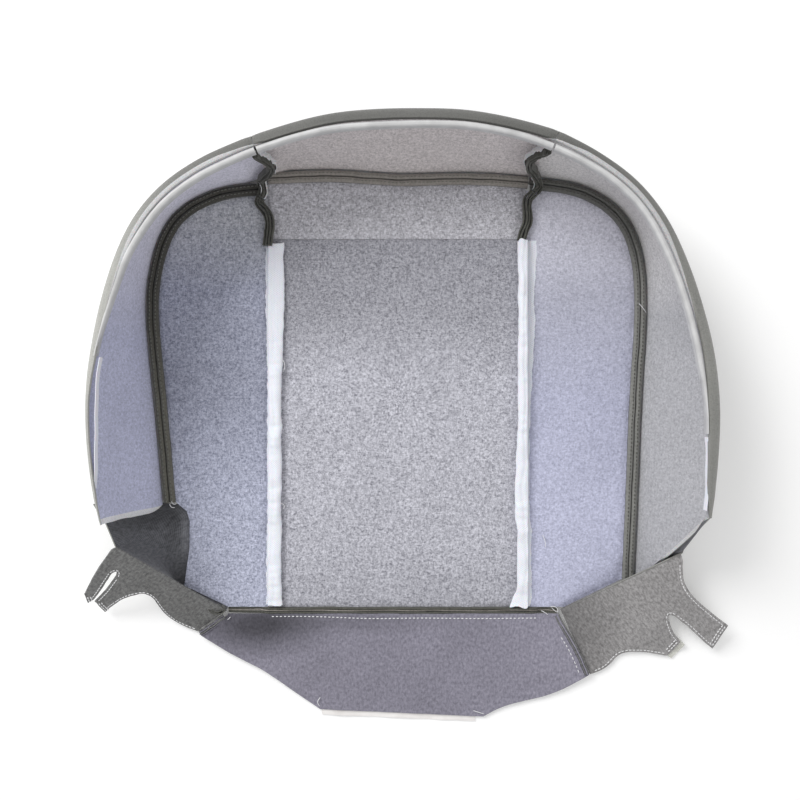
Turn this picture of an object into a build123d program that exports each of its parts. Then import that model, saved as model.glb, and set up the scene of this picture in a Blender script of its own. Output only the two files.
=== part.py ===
"""Replacement trim cover for the bottom cushion of a vehicle seat.

The cover lies on its seating face with its open side up, the way it is laid out to be fitted over
the cushion foam. +X is to the right, +Y points to the front edge of the seat, +Z points up into the
open side. The origin is on the outer face of the centre insert, which lies on z = 0. Millimetres.
"""
import os
from math import atan2, cos, hypot, radians, sin

from build123d import *

os.makedirs("parts", exist_ok=True)

# ---- the material: vinyl laminated to foam ----
skin = 1.2                      # vinyl face
laminate = 6.0                  # vinyl and foam together
sheet = 1.2                     # vinyl with a woven back and no foam: tongue, gussets and flaps
gap = 0.2                       # between neighbours that are sewn edge to edge

# ---- heights of the side walls above the seating face ----
wall_foot = 1.0
bulge_height = 90.0             # where the wall stands out furthest
rim_height = 106.0
rim_roll = 12.0                 # how far the wall leans back in between its bulge and its rim
rim_foam = 0.6                  # the foam is skived thin at the rim

# ---- the perimeter seam, opened flat and top-stitched ----
tape_half = 5.5
foot_gap = 0.8                  # between the seam allowance and the foot of the wall
tape_top = 8.6

# ---- the flat panels ----
insert_left = -131.0
insert_right = 125.0
insert_front = 160.0
panel_rear = -205.6

# ---- listing sleeves for the tie-down wires ----
sleeve_radius = 5.0
sleeve_bore = 3.2
sleeve_height = 12.2            # axis above the seating face
web_low = 6.9
web_high = 8.1
flange_low = 6.1
flange_high = 6.9
left_sleeve_x = -123.5
right_sleeve_x = 121.9
left_hinge_x = -131.0
right_hinge_x = 127.0

# ---- the rear tongue ----
tongue_hinge_y = -213.6
tongue_hinge_z = 6.8
tongue_slope = 2.7              # degrees down to the floor
binding_rear = -212.0
binding_top = 7.8

# Seam lines, walked clockwise as seen from above, so that outward is on the left of the walk.
left_seam = [
    (-228.5, -102), (-238, 0), (-244, 62), (-245.5, 100), (-239, 142),
    (-222, 178), (-198, 196), (-166, 206.5), (-133, 209.2),
]
front_seam = [(-130.5, 220), (-60, 222), (0, 218.5), (60, 219.5), (127, 216)]
right_seam = [
    (129.5, 214), (166, 210.5), (198, 198), (221, 177), (234, 147),
    (238.5, 108), (235, 20), (230.5, -80), (226, -178),
]
right_wall_end = (227.5, -158)  # the right wall stops short of the end of its seam

# Where the outer face of each wall stands out furthest, one point for each seam point.
left_bulge = [
    (-271.5, -100), (-282, 0), (-274, 65), (-266, 101), (-253, 139),
    (-231, 176), (-201, 204), (-168, 223), (-135, 237),
]
front_bulge = [(-132.5, 238), (-64, 257), (0, 262), (66, 260), (139.5, 243)]
right_bulge = [
    (145.5, 240.5), (171, 227), (203, 206), (232, 176), (252, 140),
    (266, 104), (286, 15), (286, -50), (280, -106),
]


def shifted(points, distance):
    """Move each point of a walk sideways, outwards where the distance is positive."""
    moved = []
    for index, (x, y) in enumerate(points):
        before = points[max(index - 1, 0)]
        after = points[min(index + 1, len(points) - 1)]
        heading = atan2(after[1] - before[1], after[0] - before[0])
        moved.append((x - distance * sin(heading), y + distance * cos(heading)))
    return moved


def ribbon(points, inner, outer):
    """The edges of the strip between two shifted copies of a walk."""
    near = shifted(points, inner)
    far = shifted(points, outer)
    with BuildLine() as outline:
        Spline(*near)
        Line(near[-1], far[-1])
        Spline(*reversed(far))
        Line(far[0], near[0])
    return outline.edges()


def save(piece, name):
    """Label a finished piece and write it to its own STEP file."""
    piece.part.label = name
    export_step(piece.part, f"parts/{name}.step")


# ---- flat panels: a vinyl face on the floor with foam on top of it ----

def insert_outline():
    with BuildLine() as outline:
        Polyline(
            (insert_left + gap, panel_rear),
            (insert_right - gap, panel_rear),
            (insert_right - gap, insert_front - gap),
            (insert_left + gap, insert_front - gap),
            close=True,
        )
    return outline.edges()


def front_panel_outline():
    edge = shifted(front_seam, -tape_half - gap)
    with BuildLine() as outline:
        Spline(*edge)
        Polyline(
            edge[-1],
            (insert_right - gap, edge[-1][1]),
            (insert_right - gap, insert_front + gap),
            (insert_left + gap, insert_front + gap),
            (insert_left + gap, edge[0][1]),
            edge[0],
        )
    return outline.edges()


def left_bolster_outline():
    edge = shifted(left_seam, -tape_half - gap)
    with BuildLine() as outline:
        Spline(*edge)
        Polyline(
            edge[-1],
            (insert_left - gap, edge[-1][1]),
            (insert_left - gap, panel_rear),
            (-170, panel_rear),
            (-214.5, -184.5),
            (-210, -132),
            (-211, -119),
            edge[0],
        )
    return outline.edges()


def right_bolster_outline():
    edge = shifted(right_seam, -tape_half - gap)
    with BuildLine() as outline:
        Spline(*edge)
        Polyline(
            edge[-1],
            (163, panel_rear),
            (insert_right + gap, panel_rear),
            (insert_right + gap, edge[0][1]),
            edge[0],
        )
    return outline.edges()


panels = {
    "insert": insert_outline,
    "front_panel": front_panel_outline,
    "left_bolster": left_bolster_outline,
    "right_bolster": right_bolster_outline,
}
for panel_name, panel_outline in panels.items():
    with BuildPart() as panel_skin:
        with BuildSketch():
            make_face(panel_outline())
        extrude(amount=skin)
    save(panel_skin, f"{panel_name}_skin")

    with BuildPart() as panel_foam:
        with BuildSketch(Plane.XY.offset(skin)):
            make_face(panel_outline())
        extrude(amount=laminate - skin)
    save(panel_foam, f"{panel_name}_foam")

# ---- perimeter seam allowances, opened flat along the foot of the walls ----

seams = {"left": left_seam, "front": front_seam, "right": right_seam}
for side, seam in seams.items():
    with BuildPart() as perimeter_seam:
        with BuildSketch(Plane.XY.offset(wall_foot)):
            make_face(ribbon(seam, -tape_half, tape_half))
        extrude(amount=tape_top - wall_foot)
    save(perimeter_seam, f"{side}_perimeter_seam")

# ---- side walls: outer vinyl and inner foam, out to the bulge and back in to the rim ----

walls = {
    "left": (left_seam, left_bulge),
    "front": (front_seam, front_bulge),
    "right": (right_seam[:-1] + [right_wall_end], right_bulge),
}
foot_face = tape_half + foot_gap
foam = laminate - skin
for side, (seam, bulge) in walls.items():
    with BuildPart() as wall_skin:
        with BuildSketch(Plane.XY.offset(wall_foot)):
            make_face(ribbon(seam, foot_face + foam, foot_face + laminate))
        with BuildSketch(Plane.XY.offset(bulge_height)):
            make_face(ribbon(bulge, -skin, 0))
        with BuildSketch(Plane.XY.offset(rim_height)):
            make_face(ribbon(bulge, -rim_roll - skin, -rim_roll))
        loft(ruled=True)
    save(wall_skin, f"{side}_boxing_skin")

    with BuildPart() as wall_foam:
        with BuildSketch(Plane.XY.offset(wall_foot)):
            make_face(ribbon(seam, foot_face, foot_face + foam))
        with BuildSketch(Plane.XY.offset(bulge_height)):
            make_face(ribbon(bulge, -laminate, -skin))
        with BuildSketch(Plane.XY.offset(rim_height)):
            make_face(ribbon(bulge, -rim_roll - skin - rim_foam, -rim_roll - skin))
        loft(ruled=True)
    save(wall_foam, f"{side}_boxing_foam")

# ---- rim: J-section plastic retainers, and a thin edge tape where they stop ----

rim_inner = rim_roll + skin + rim_foam + gap
hook_radius = 2.8
hook_wall = 1.2
hook_leg = 5.0
hook_flange = 12.0


def profile_plane(path):
    """The plane across the start of a level path, with local x outward and local y up."""
    tangent = path.line % 0
    return Plane(origin=path.line @ 0, x_dir=(-tangent.Y, tangent.X, 0), z_dir=tangent)


retainer_routes = {
    "left": [(-279, 41)] + left_bulge[2:-1] + [(-138, 235.5)],
    "front": [(-129.5, 239)] + front_bulge[1:-1] + [(136.5, 244)],
    "right": [(148, 239.5)] + right_bulge[1:-2] + [(287.5, -30)],
}
for side, route in retainer_routes.items():
    with BuildPart() as retainer:
        with BuildLine(Plane.XY.offset(rim_height - hook_radius)) as route_line:
            Spline(*shifted(route, -rim_inner - hook_radius))
        with BuildSketch(profile_plane(route_line)):
            Circle(hook_radius)
            Circle(hook_radius - hook_wall, mode=Mode.SUBTRACT)
            with Locations((0, -hook_radius)):
                Rectangle(4 * hook_radius, 2 * hook_radius, mode=Mode.SUBTRACT)
            with Locations((hook_radius - hook_wall / 2, -hook_flange / 2)):
                Rectangle(hook_wall, hook_flange)
            with Locations((-hook_radius + hook_wall / 2, -hook_leg / 2)):
                Rectangle(hook_wall, hook_leg)
        sweep(path=route_line.line)
    save(retainer, f"{side}_retainer")

edge_tape_width = 1.6
edge_tape_inset = rim_inner + 1.0
edge_tape_height = 8.0
edge_tape_routes = {
    "left": [left_bulge[0], (-278.5, -50), (-282, 0), (-279.5, 36)],
    "right": [(287.5, -35), (286, -50), (284, -80), right_bulge[-1]],
}
for side, route in edge_tape_routes.items():
    with BuildPart() as edge_tape:
        with BuildSketch(Plane.XY.offset(rim_height - edge_tape_height)):
            make_face(ribbon(route, -edge_tape_inset - edge_tape_width, -edge_tape_inset))
        extrude(amount=edge_tape_height)
    save(edge_tape, f"{side}_edge_tape")

# ---- standing seam allowances between the insert, the bolsters and the walls ----

allowance_width = 9.0
allowance_depth = 8.0
allowance_top = 16.0
panel_seams = {"left": (insert_left, 202.0), "right": (insert_right, 203.0)}
for side, (seam_x, seam_front) in panel_seams.items():
    with BuildPart() as panel_seam:
        with BuildSketch(Plane.XY.offset(laminate + gap)):
            with Locations((seam_x, (insert_front + seam_front) / 2)):
                Rectangle(allowance_width, seam_front - insert_front)
        extrude(amount=allowance_top - laminate - gap)
    save(panel_seam, f"{side}_panel_seam")

# Each wall allowance is buckled, so it leans to one side at half its height.
boxing_seams = {
    "left": [(-135, 207.5, 9.5), (-121, 219, 56), (-130, 219, 90.5)],
    "right": [(135, 210, 9.5), (123, 221, 56), (133, 221, 90.5)],
}
for side, stations in boxing_seams.items():
    with BuildPart() as boxing_seam:
        for x, y, z in stations:
            with BuildSketch(Plane.XY.offset(z)):
                with Locations((x, y)):
                    Rectangle(allowance_width, allowance_depth)
        loft(ruled=True)
    save(boxing_seam, f"{side}_boxing_seam")

# ---- rear edge binding ----

with BuildPart() as rear_binding:
    with BuildSketch(Plane.XY.offset(wall_foot)):
        with BuildLine():
            Polyline(
                (-171, binding_rear),
                (156, binding_rear),
                (156, panel_rear - gap),
                (-171, panel_rear - gap),
                close=True,
            )
        make_face()
    extrude(amount=binding_top - wall_foot)
save(rear_binding, "rear_binding")

# ---- listing sleeves: a round tube on a web, and the flange that is sewn to the panel ----

sleeves = {
    "left": (left_sleeve_x, left_hinge_x + 0.4, -203.0, 155.0),
    "right": (right_sleeve_x, right_hinge_x - 0.4, -204.5, 158.0),
}
for side, (centre_x, web_x, rear_y, front_y) in sleeves.items():
    with BuildPart() as listing_sleeve:
        with BuildSketch(Plane.XZ.offset(-front_y)):
            with Locations((centre_x, sleeve_height)):
                Circle(sleeve_radius)
            with Locations(((centre_x + web_x) / 2, (web_low + web_high) / 2)):
                Rectangle(abs(centre_x - web_x), web_high - web_low)
            with Locations((centre_x, sleeve_height)):
                Circle(sleeve_bore, mode=Mode.SUBTRACT)
        extrude(amount=front_y - rear_y)
    save(listing_sleeve, f"{side}_listing_sleeve")

flanges = {"left": (-137.0, -131.8, 155.0), "right": (127.8, 136.5, 157.0)}
for side, (low_x, high_x, front_y) in flanges.items():
    with BuildPart() as sleeve_flange:
        with BuildSketch(Plane.XY.offset(flange_low)):
            with Locations(((low_x + high_x) / 2, (front_y - 203) / 2)):
                Rectangle(high_x - low_x, front_y + 203)
        extrude(amount=flange_high - flange_low)
    save(sleeve_flange, f"{side}_sleeve_flange")

# ---- rear corner gussets: thin walls that fall from the end of the side wall to the binding ----

def leaning_strip(foot, head, thickness):
    """A thin parallelogram that stands on foot, leans to head and is thick towards the inside."""
    reach = hypot(foot[0], foot[1])
    shift = (-foot[0] / reach * thickness, -foot[1] / reach * thickness, 0)
    near = [tuple(p + s for p, s in zip(corner, shift)) for corner in (head, foot)]
    return Face(Wire.make_polygon([foot, head, *near], close=True))


# Each gusset runs through three leaning strips, given as a foot and a head.
gussets = {
    "left": [
        ((-238, -106, 0.2), (-266, -106, 92)),
        ((-232, -182, 0.2), (-262, -137, 65)),
        ((-174, -211, 0.2), (-172.5, -208.5, 9.5)),
    ],
    "right": [
        ((240.5, -167, 0.2), (270, -111, 96)),
        ((233, -189, 0.2), (267.4, -147, 39.5)),
        ((164, -211, 0.2), (161.5, -207, 7.5)),
    ],
}
# On the left the gusset also covers the floor, because the bolster stops short of its foot.
pocket_floor = [
    (-237.5, -106.5), (-227, -106.5), (-213, -120), (-212, -132), (-216.5, -184), (-231.5, -181.5),
]
for side, strips in gussets.items():
    with BuildPart() as gusset:
        loft([leaning_strip(foot, head, sheet) for foot, head in strips], ruled=True)
        if side == "left":
            with BuildSketch(Plane.XY.offset(gap)):
                with BuildLine():
                    Polyline(*pocket_floor, close=True)
                make_face()
            extrude(amount=sheet)
    save(gusset, f"{side}_gusset")

# ---- rear tongue, its side seams and its plastic strip ----

tongue_plane = Plane(
    origin=(0, tongue_hinge_y, tongue_hinge_z),
    x_dir=(1, 0, 0),
    z_dir=(0, -sin(radians(tongue_slope)), cos(radians(tongue_slope))),
)
# Local y is 0 on the hinge line and negative towards the tip.
with BuildPart() as rear_tongue:
    with BuildSketch(tongue_plane.offset(-sheet / 2)):
        with BuildLine():
            Polyline((-171, 0), (-199, -19))
            Spline((-199, -19), (-164, -40.5), (-133, -57), (-106, -76), (-79.5, -94.5))
            Line((-79.5, -94.5), (83, -102))
            Spline((83, -102), (100, -93), (146, -80.5), (188, -59.5))
            Polyline((188, -59.5), (157, 0), (-171, 0))
        make_face()
    extrude(amount=sheet)
save(rear_tongue, "rear_tongue")

strip_overlap = 7.0
strip_proud = 5.5
strip_thickness = 1.2
with BuildPart() as tongue_retainer:
    with BuildSketch(tongue_plane.offset(-sheet / 2 - gap - strip_thickness)):
        with BuildLine():
            Polyline(
                (-78, -94.6 + strip_overlap),
                (75, -101.6 + strip_overlap),
                (75, -101.6 - strip_proud),
                (-78, -94.6 - strip_proud),
                close=True,
            )
        make_face()
    extrude(amount=strip_thickness)
save(tongue_retainer, "tongue_retainer")

side_seams = {
    "left": [(-173, -4), (-197, -19.5), (-191, -23), (-166, -6)],
    "right": [(155.5, -2), (186, -58.5), (179, -62), (149, -4)],
}
side_seam_height = 2.4
for side, corners in side_seams.items():
    with BuildPart() as tongue_seam:
        with BuildSketch(tongue_plane.offset(sheet / 2 + gap)):
            with BuildLine():
                Polyline(*corners, close=True)
            make_face()
        extrude(amount=side_seam_height)
    save(tongue_seam, f"{side}_tongue_seam")

# ---- corner flaps: each hangs outward from a straight fold at the head of its gusset ----

left_fold_inner = Vector(-171.7, -207.2, 12)
left_fold_outer = Vector(-262.5, -135.9, 68)
left_hem_point = Vector(-204.5, -226.5, 2)
right_fold_inner = Vector(161.2, -205.7, 10)
right_fold_outer = Vector(268.4, -145.9, 42)
right_hem_point = Vector(190.6, -271.4, 2)


def fold_plane(inner, outer, hem):
    """The flap's plane: local x along the fold, local z up."""
    along = (outer - inner).normalized()
    normal = along.cross(hem - inner).normalized()
    if normal.Z < 0:
        normal = -normal
    return Plane(origin=inner, x_dir=along, z_dir=normal)


# On the left, local y grows outward from the fold.
left_plane = fold_plane(left_fold_inner, left_fold_outer, left_hem_point)
with BuildPart() as left_flap:
    with BuildSketch(left_plane.offset(-sheet / 2)):
        with BuildLine():
            Polyline((1.5, 1), (128, 1), (129.5, 5))
            Spline((129.5, 5), (124, 35), (115.5, 68.5))
            Polyline((115.5, 68.5), (107, 75.5), (106, 69))
            Spline((106, 69), (109, 50), (112, 31))
            ThreePointArc((112, 31), (109.5, 24.5), (106.5, 30))
            Spline((106.5, 30), (104, 50), (102.5, 70))
            Line((102.5, 70), (87, 77))
            Spline((87, 77), (84, 45), (73, 31.5), (48, 38), (26, 44), (9, 38.5))
            Line((9, 38.5), (1.5, 1))
        make_face()
    extrude(amount=sheet)
save(left_flap, "left_flap")

# On the right, local y is negative outward from the fold.
right_plane = fold_plane(right_fold_inner, right_fold_outer, right_hem_point)
with BuildPart() as right_flap:
    with BuildSketch(right_plane.offset(-sheet / 2)):
        with BuildLine():
            Polyline((1, -1), (126, -1), (123.5, -7.5))
            Spline((123.5, -7.5), (115, -28), (117, -48), (131, -84))
            Line((131, -84), (108, -98))
            Spline((108, -98), (99, -72), (92, -54))
            ThreePointArc((92, -54), (88, -50.5), (84.5, -55))
            Spline((84.5, -55), (82, -68), (83.5, -80.5))
            Line((83.5, -80.5), (66, -88))
            Spline((66, -88), (45, -72.5), (25, -66), (9, -72), (-5, -73))
            Line((-5, -73), (1, -1))
        make_face()
    extrude(amount=sheet)
save(right_flap, "right_flap")

clip_thickness = 1.2
with BuildPart() as right_tab_clip:
    with BuildSketch(right_plane.offset(-sheet / 2 - gap - clip_thickness)):
        with BuildLine():
            Polyline((63, -78), (68, -93), (86, -85.5), (81, -71), close=True)
        make_face()
    extrude(amount=clip_thickness)
save(right_tab_clip, "right_tab_clip")
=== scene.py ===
"""Looks of a replacement trim cover for the bottom cushion of a vehicle seat.

The cover lies on its seating face with its open side up. Lengths are in millimetres until a mesh is
made. +X is to the right, +Y points to the front edge of the seat and +Z up into the open side.
"""
from math import cos, pi, radians, sin, tau

import bpy
import numpy as np
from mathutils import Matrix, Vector
from mathutils.geometry import delaunay_2d_cdt


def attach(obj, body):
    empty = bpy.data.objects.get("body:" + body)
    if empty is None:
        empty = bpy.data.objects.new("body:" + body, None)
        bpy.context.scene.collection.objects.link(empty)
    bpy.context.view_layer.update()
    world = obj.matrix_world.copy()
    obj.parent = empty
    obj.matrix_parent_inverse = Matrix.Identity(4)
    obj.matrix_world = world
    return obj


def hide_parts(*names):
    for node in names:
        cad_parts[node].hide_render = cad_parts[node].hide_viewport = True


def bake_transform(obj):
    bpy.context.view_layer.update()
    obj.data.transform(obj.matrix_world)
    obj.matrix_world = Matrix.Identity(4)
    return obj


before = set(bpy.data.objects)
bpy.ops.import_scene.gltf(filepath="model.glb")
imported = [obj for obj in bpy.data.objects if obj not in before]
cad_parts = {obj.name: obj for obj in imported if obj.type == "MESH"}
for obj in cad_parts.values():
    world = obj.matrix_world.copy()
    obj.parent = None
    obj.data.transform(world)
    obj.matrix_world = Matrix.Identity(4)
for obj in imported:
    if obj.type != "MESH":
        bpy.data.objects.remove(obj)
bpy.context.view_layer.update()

METRES = 0.001
CAMERA_HEIGHT = 900.0

# ---- values shared with the CAD source ----
LAMINATE = 6.0
SKIN = 1.2
BULGE_Z = 90.0
RIM_Z = 106.0
INSERT_LEFT = -131.0
INSERT_RIGHT = 125.0
INSERT_FRONT = 160.0
PANEL_REAR = -205.6
TAPE_HALF = 5.5
TONGUE_Y = -213.6
TONGUE_Z = 6.8
TONGUE_SLOPE = radians(2.7)

LEFT_SEAM = [
    (-228.5, -102), (-238, 0), (-244, 62), (-245.5, 100), (-239, 142),
    (-222, 178), (-198, 196), (-166, 206.5), (-133, 209.2),
]
FRONT_SEAM = [(-130.5, 220), (-60, 222), (0, 218.5), (60, 219.5), (127, 216)]
RIGHT_SEAM = [
    (129.5, 214), (166, 210.5), (198, 198), (221, 177), (234, 147),
    (238.5, 108), (235, 20), (230.5, -80), (226, -178),
]
RIGHT_WALL_FOOT = (226.4, -176)    # the right wall runs on under its flap
LEFT_BULGE = [
    (-271.5, -100), (-282, 0), (-274, 65), (-266, 101), (-253, 139),
    (-231, 176), (-201, 204), (-168, 223), (-135, 237),
]
FRONT_BULGE = [(-132.5, 238), (-64, 257), (0, 262), (66, 260), (139.5, 243)]
RIGHT_BULGE = [
    (145.5, 240.5), (171, 227), (203, 206), (232, 176), (252, 140),
    (266, 104), (286, 15), (286, -50), (280, -106),
]


# ---- lines ----

def spline(points, at):
    """A smooth line through the points, read at places counted in points."""
    p = np.array(points, float)
    step = np.linalg.norm(np.diff(p, axis=0), axis=1)
    knots = np.concatenate([[0.0], np.cumsum(step)])
    last = len(p) - 1
    system = np.eye(last + 1)
    change = np.zeros_like(p)
    for i in range(1, last):
        system[i, i - 1:i + 2] = step[i - 1], 2 * (step[i - 1] + step[i]), step[i]
        change[i] = 6 * ((p[i + 1] - p[i]) / step[i] - (p[i] - p[i - 1]) / step[i - 1])
    bend = np.linalg.solve(system, change)
    way = np.interp(at, np.arange(last + 1), knots)
    k = np.clip(np.searchsorted(knots, way, side="right") - 1, 0, last - 1)
    h = step[k][:, None]
    a = (knots[k + 1] - way)[:, None]
    b = (way - knots[k])[:, None]
    return (bend[k] * a**3 + bend[k + 1] * b**3) / (6 * h) + (
        (p[k] / h - bend[k] * h / 6) * a + (p[k + 1] / h - bend[k + 1] * h / 6) * b
    )


def length_along(line):
    """How far along the line each of its points is."""
    return np.concatenate([[0.0], np.cumsum(np.linalg.norm(np.diff(line, axis=0), axis=1))])


def read_at(at, knots, values):
    """Rows of values, read at places between the knots where they are given."""
    return np.stack([np.interp(at, knots, column) for column in np.transpose(values)], axis=-1)


def even(line, count):
    """The same line with evenly spaced points."""
    way = length_along(line)
    return read_at(np.linspace(0, way[-1], count), way, line)


def curve(points, count):
    """A smooth line through the points with count evenly spaced points."""
    fine = spline(points, np.linspace(0, len(points) - 1, 12 * count))
    return even(fine, count)


def spaced(points, gap):
    """A line of straight runs with points at most gap apart, corners kept."""
    out = []
    for a, b in zip(points[:-1], points[1:]):
        a, b = np.array(a, float), np.array(b, float)
        parts = max(int(np.ceil(np.linalg.norm(b - a) / gap)), 1)
        out += [a + (b - a) * i / parts for i in range(parts)]
    return np.array(out + [np.array(points[-1], float)])


def sideways(line):
    """Unit vectors to the left of each point of a plane line, which is outward on the seams."""
    run = np.gradient(line[:, :2], axis=0)
    run /= np.linalg.norm(run, axis=1)[:, None]
    return np.stack([-run[:, 1], run[:, 0]], axis=1)


def shifted(line, distance):
    """The line moved sideways, by one distance or by one for each point."""
    return line[:, :2] + sideways(line) * np.reshape(distance, (-1, 1))


def relaxed(line, times):
    """The line with its bends eased."""
    line = line.copy()
    for _ in range(times):
        line[1:-1] = (line[:-2] + 2 * line[1:-1] + line[2:]) / 4
    return line


def points_at(*columns):
    """Points from their columns; a single number fills its column."""
    return np.column_stack(np.broadcast_arrays(*columns))


def with_z(line, z):
    """A plane line raised to z."""
    return points_at(line[:, 0], line[:, 1], z)


def unit(vectors):
    """The vectors at length one."""
    return vectors / np.maximum(np.linalg.norm(vectors, axis=-1, keepdims=True), 1e-9)


def smooth(low, high, value):
    """0 below low, 1 above high and a soft step between."""
    t = np.clip((np.asarray(value, float) - low) / (high - low), 0, 1)
    return t * t * (3 - 2 * t)


def ripple(points, wavelength, seed):
    """Soft uneven bumps from about -1 to 1, the same each time for one seed."""
    points = np.asarray(points, float)
    draw = np.random.default_rng(seed)
    total = np.zeros(points.shape[:-1])
    waves = 7
    for _ in range(waves):
        way = unit(draw.normal(size=points.shape[-1]))
        total += np.sin(points @ way * tau / (wavelength * draw.uniform(0.6, 1.7)) + draw.uniform(0, tau))
    return total / 3.2


# ---- meshes ----

class Cloth:
    """Collects the points and faces of one piece."""

    def __init__(self):
        self.points = []
        self.places = []
        self.faces = []
        self.paints = []
        self.count = 0

    def add(self, points, faces, paint=0, place=None):
        """Adds points, and faces that count them from 0. place is where each lies on the flat cloth."""
        points = np.asarray(points, float).reshape(-1, 3)
        if place is None:
            place = points[:, :2]
        self.points.append(points)
        self.places.append(np.asarray(place, float).reshape(-1, 2))
        self.faces += [tuple(i + self.count for i in face) for face in faces]
        self.paints += [int(mark) for mark in np.broadcast_to(paint, len(faces))]
        self.count += len(points)

    def make(self, name, materials, slot, node=None, body="cover", crease=42):
        """The finished piece, in metres: the CAD node it stands for and its body; slot, a finish slot, is
        not used.
        """
        mesh = bpy.data.meshes.new(name)
        mesh.from_pydata(np.vstack(self.points) * METRES, [], self.faces)
        for material in materials:
            mesh.materials.append(material)
        mesh.polygons.foreach_set("material_index", self.paints)
        corner = np.zeros(len(mesh.loops), np.int32)
        mesh.loops.foreach_get("vertex_index", corner)
        places = np.vstack(self.places) * METRES
        mesh.uv_layers.new(name="cloth").data.foreach_set("uv", places[corner].ravel())
        mesh.validate()
        mesh.shade_smooth()
        mesh.set_sharp_from_angle(angle=radians(crease))
        made = bpy.data.objects.new(name, mesh)
        bpy.context.scene.collection.objects.link(made)
        if body:
            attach(made, body)
        if node:
            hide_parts(node)
        return made


def quads(rows, columns, wrap=False):
    """Faces of a grid of points, row by row; wrap joins the last column to the first."""
    made = []
    across = columns if wrap else columns - 1
    for r in range(rows - 1):
        for c in range(across):
            d = (c + 1) % columns
            made.append((r * columns + c, r * columns + d, (r + 1) * columns + d, (r + 1) * columns + c))
    return made


def grid_place(grid):
    """Where each point of a grid lies on the flat cloth, along and across."""
    middle = grid[:, grid.shape[1] // 2]
    along = length_along(middle)
    across = length_along(grid[grid.shape[0] // 2])
    return np.stack(np.meshgrid(along, across, indexing="ij"), axis=-1)


def normals(grid):
    """Unit normals of a grid of points, rows cross columns."""
    return unit(np.cross(np.gradient(grid, axis=0), np.gradient(grid, axis=1)))


def sweep(cloth, rings, paint=0):
    """A solid through closed rings of points."""
    rings = np.asarray(rings, float)
    rows, columns = rings.shape[:2]
    faces = quads(rows, columns, wrap=True)
    faces.append(tuple(reversed(range(columns))))
    faces.append(tuple((rows - 1) * columns + c for c in range(columns)))
    cloth.add(rings, faces, paint, grid_place(rings))


def sweep_lines(cloth, lines, paint=0):
    """A solid between lines that run side by side round its section."""
    sweep(cloth, np.stack(lines, axis=1), paint)


def shell(cloth, grid, thickness, paints, side=None):
    """A sheet with its face on the grid and its back the given thickness behind it."""
    rows, columns = grid.shape[:2]
    if side is None:
        side = normals(grid)
    thickness = np.broadcast_to(thickness, (rows, columns))[..., None]
    back = grid - side * thickness
    here = grid_place(grid)
    size = rows * columns
    front_faces = quads(rows, columns)
    faces = front_faces + [tuple(size + i for i in reversed(f)) for f in front_faces]
    rim = [r * columns for r in range(rows)]
    rim += [(rows - 1) * columns + c for c in range(1, columns)]
    rim += [r * columns + columns - 1 for r in range(rows - 2, -1, -1)]
    rim += list(range(columns - 2, 0, -1))
    edges = [(a, b, b + size, a + size) for a, b in zip(rim, rim[1:] + rim[:1])]
    face_paint = list(np.broadcast_to(paints[0], len(front_faces)))
    paint = face_paint + [paints[1]] * len(front_faces) + [paints[2]] * len(edges)
    cloth.add(
        np.concatenate([grid.reshape(-1, 3), back.reshape(-1, 3)]),
        faces + edges,
        paint,
        np.concatenate([here.reshape(-1, 2), here.reshape(-1, 2)]),
    )


def edge_distance(points, line, closed=True):
    """How far each plane point is from a line."""
    line = np.asarray(line, float)
    ends = np.roll(line, -1, axis=0) if closed else line[1:]
    starts = line if closed else line[:-1]
    run = ends - starts
    size = np.maximum((run**2).sum(1), 1e-9)
    found = []
    for block in np.array_split(points, max(len(points) // 2000, 1)):
        off = block[:, None] - starts
        t = np.clip((off * run).sum(2) / size, 0, 1)
        found.append(np.linalg.norm(off - t[..., None] * run, axis=2).min(1))
    return np.concatenate(found)


def inside(points, outline):
    """Which plane points lie inside a closed outline."""
    x, y = points[:, 0:1], points[:, 1:2]
    ax, ay = outline[:, 0], outline[:, 1]
    bx, by = np.roll(ax, -1), np.roll(ay, -1)
    crosses = (ay > y) != (by > y)
    slope = (bx - ax) / np.where(by == ay, 1e-9, by - ay)
    return (crosses & (x < (y - ay) * slope + ax)).sum(1) % 2 == 1


def inset(line, distance, outline):
    """The line moved into an outline on its right, without the points that come too near an edge."""
    moved = shifted(line, -distance)
    clear = edge_distance(moved, outline) > distance * 0.86
    return moved[clear & inside(moved, outline)]


def patch(outline, gap, rings=(1.0, 2.6, 4.6)):
    """Triangles that fill an outline: its own points, rings just inside it and an even grid."""
    outline = np.asarray(outline, float)
    low, high = outline.min(0), outline.max(0)
    rows = np.arange(low[1], high[1], gap * 0.87)
    columns = np.arange(low[0], high[0] + gap, gap)
    grid = np.array([(x + gap / 2 * (k % 2), y) for k, y in enumerate(rows) for x in columns])
    grid = grid[inside(grid, outline)]
    far = rings[-1] + gap * 0.55 if rings else gap * 0.5
    grid = grid[edge_distance(grid, outline) > far]
    closed = np.vstack([outline, outline[:1]])
    inner = []
    for ring in rings:
        for turn in (1, -1):
            moved = shifted(closed, ring * turn)[:-1]
            good = inside(moved, outline) & (edge_distance(moved, outline) > ring * 0.93)
            inner.append(moved[good])
    points = np.vstack([outline, *inner, grid])
    keep = [tuple(p) for p in points]
    ring_edges = [(i, (i + 1) % len(outline)) for i in range(len(outline))]
    made = delaunay_2d_cdt([Vector(p) for p in keep], ring_edges, [], 1, 1e-4)
    flat = np.array([tuple(v) for v in made[0]])
    return flat, [tuple(f) for f in made[2]]


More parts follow.
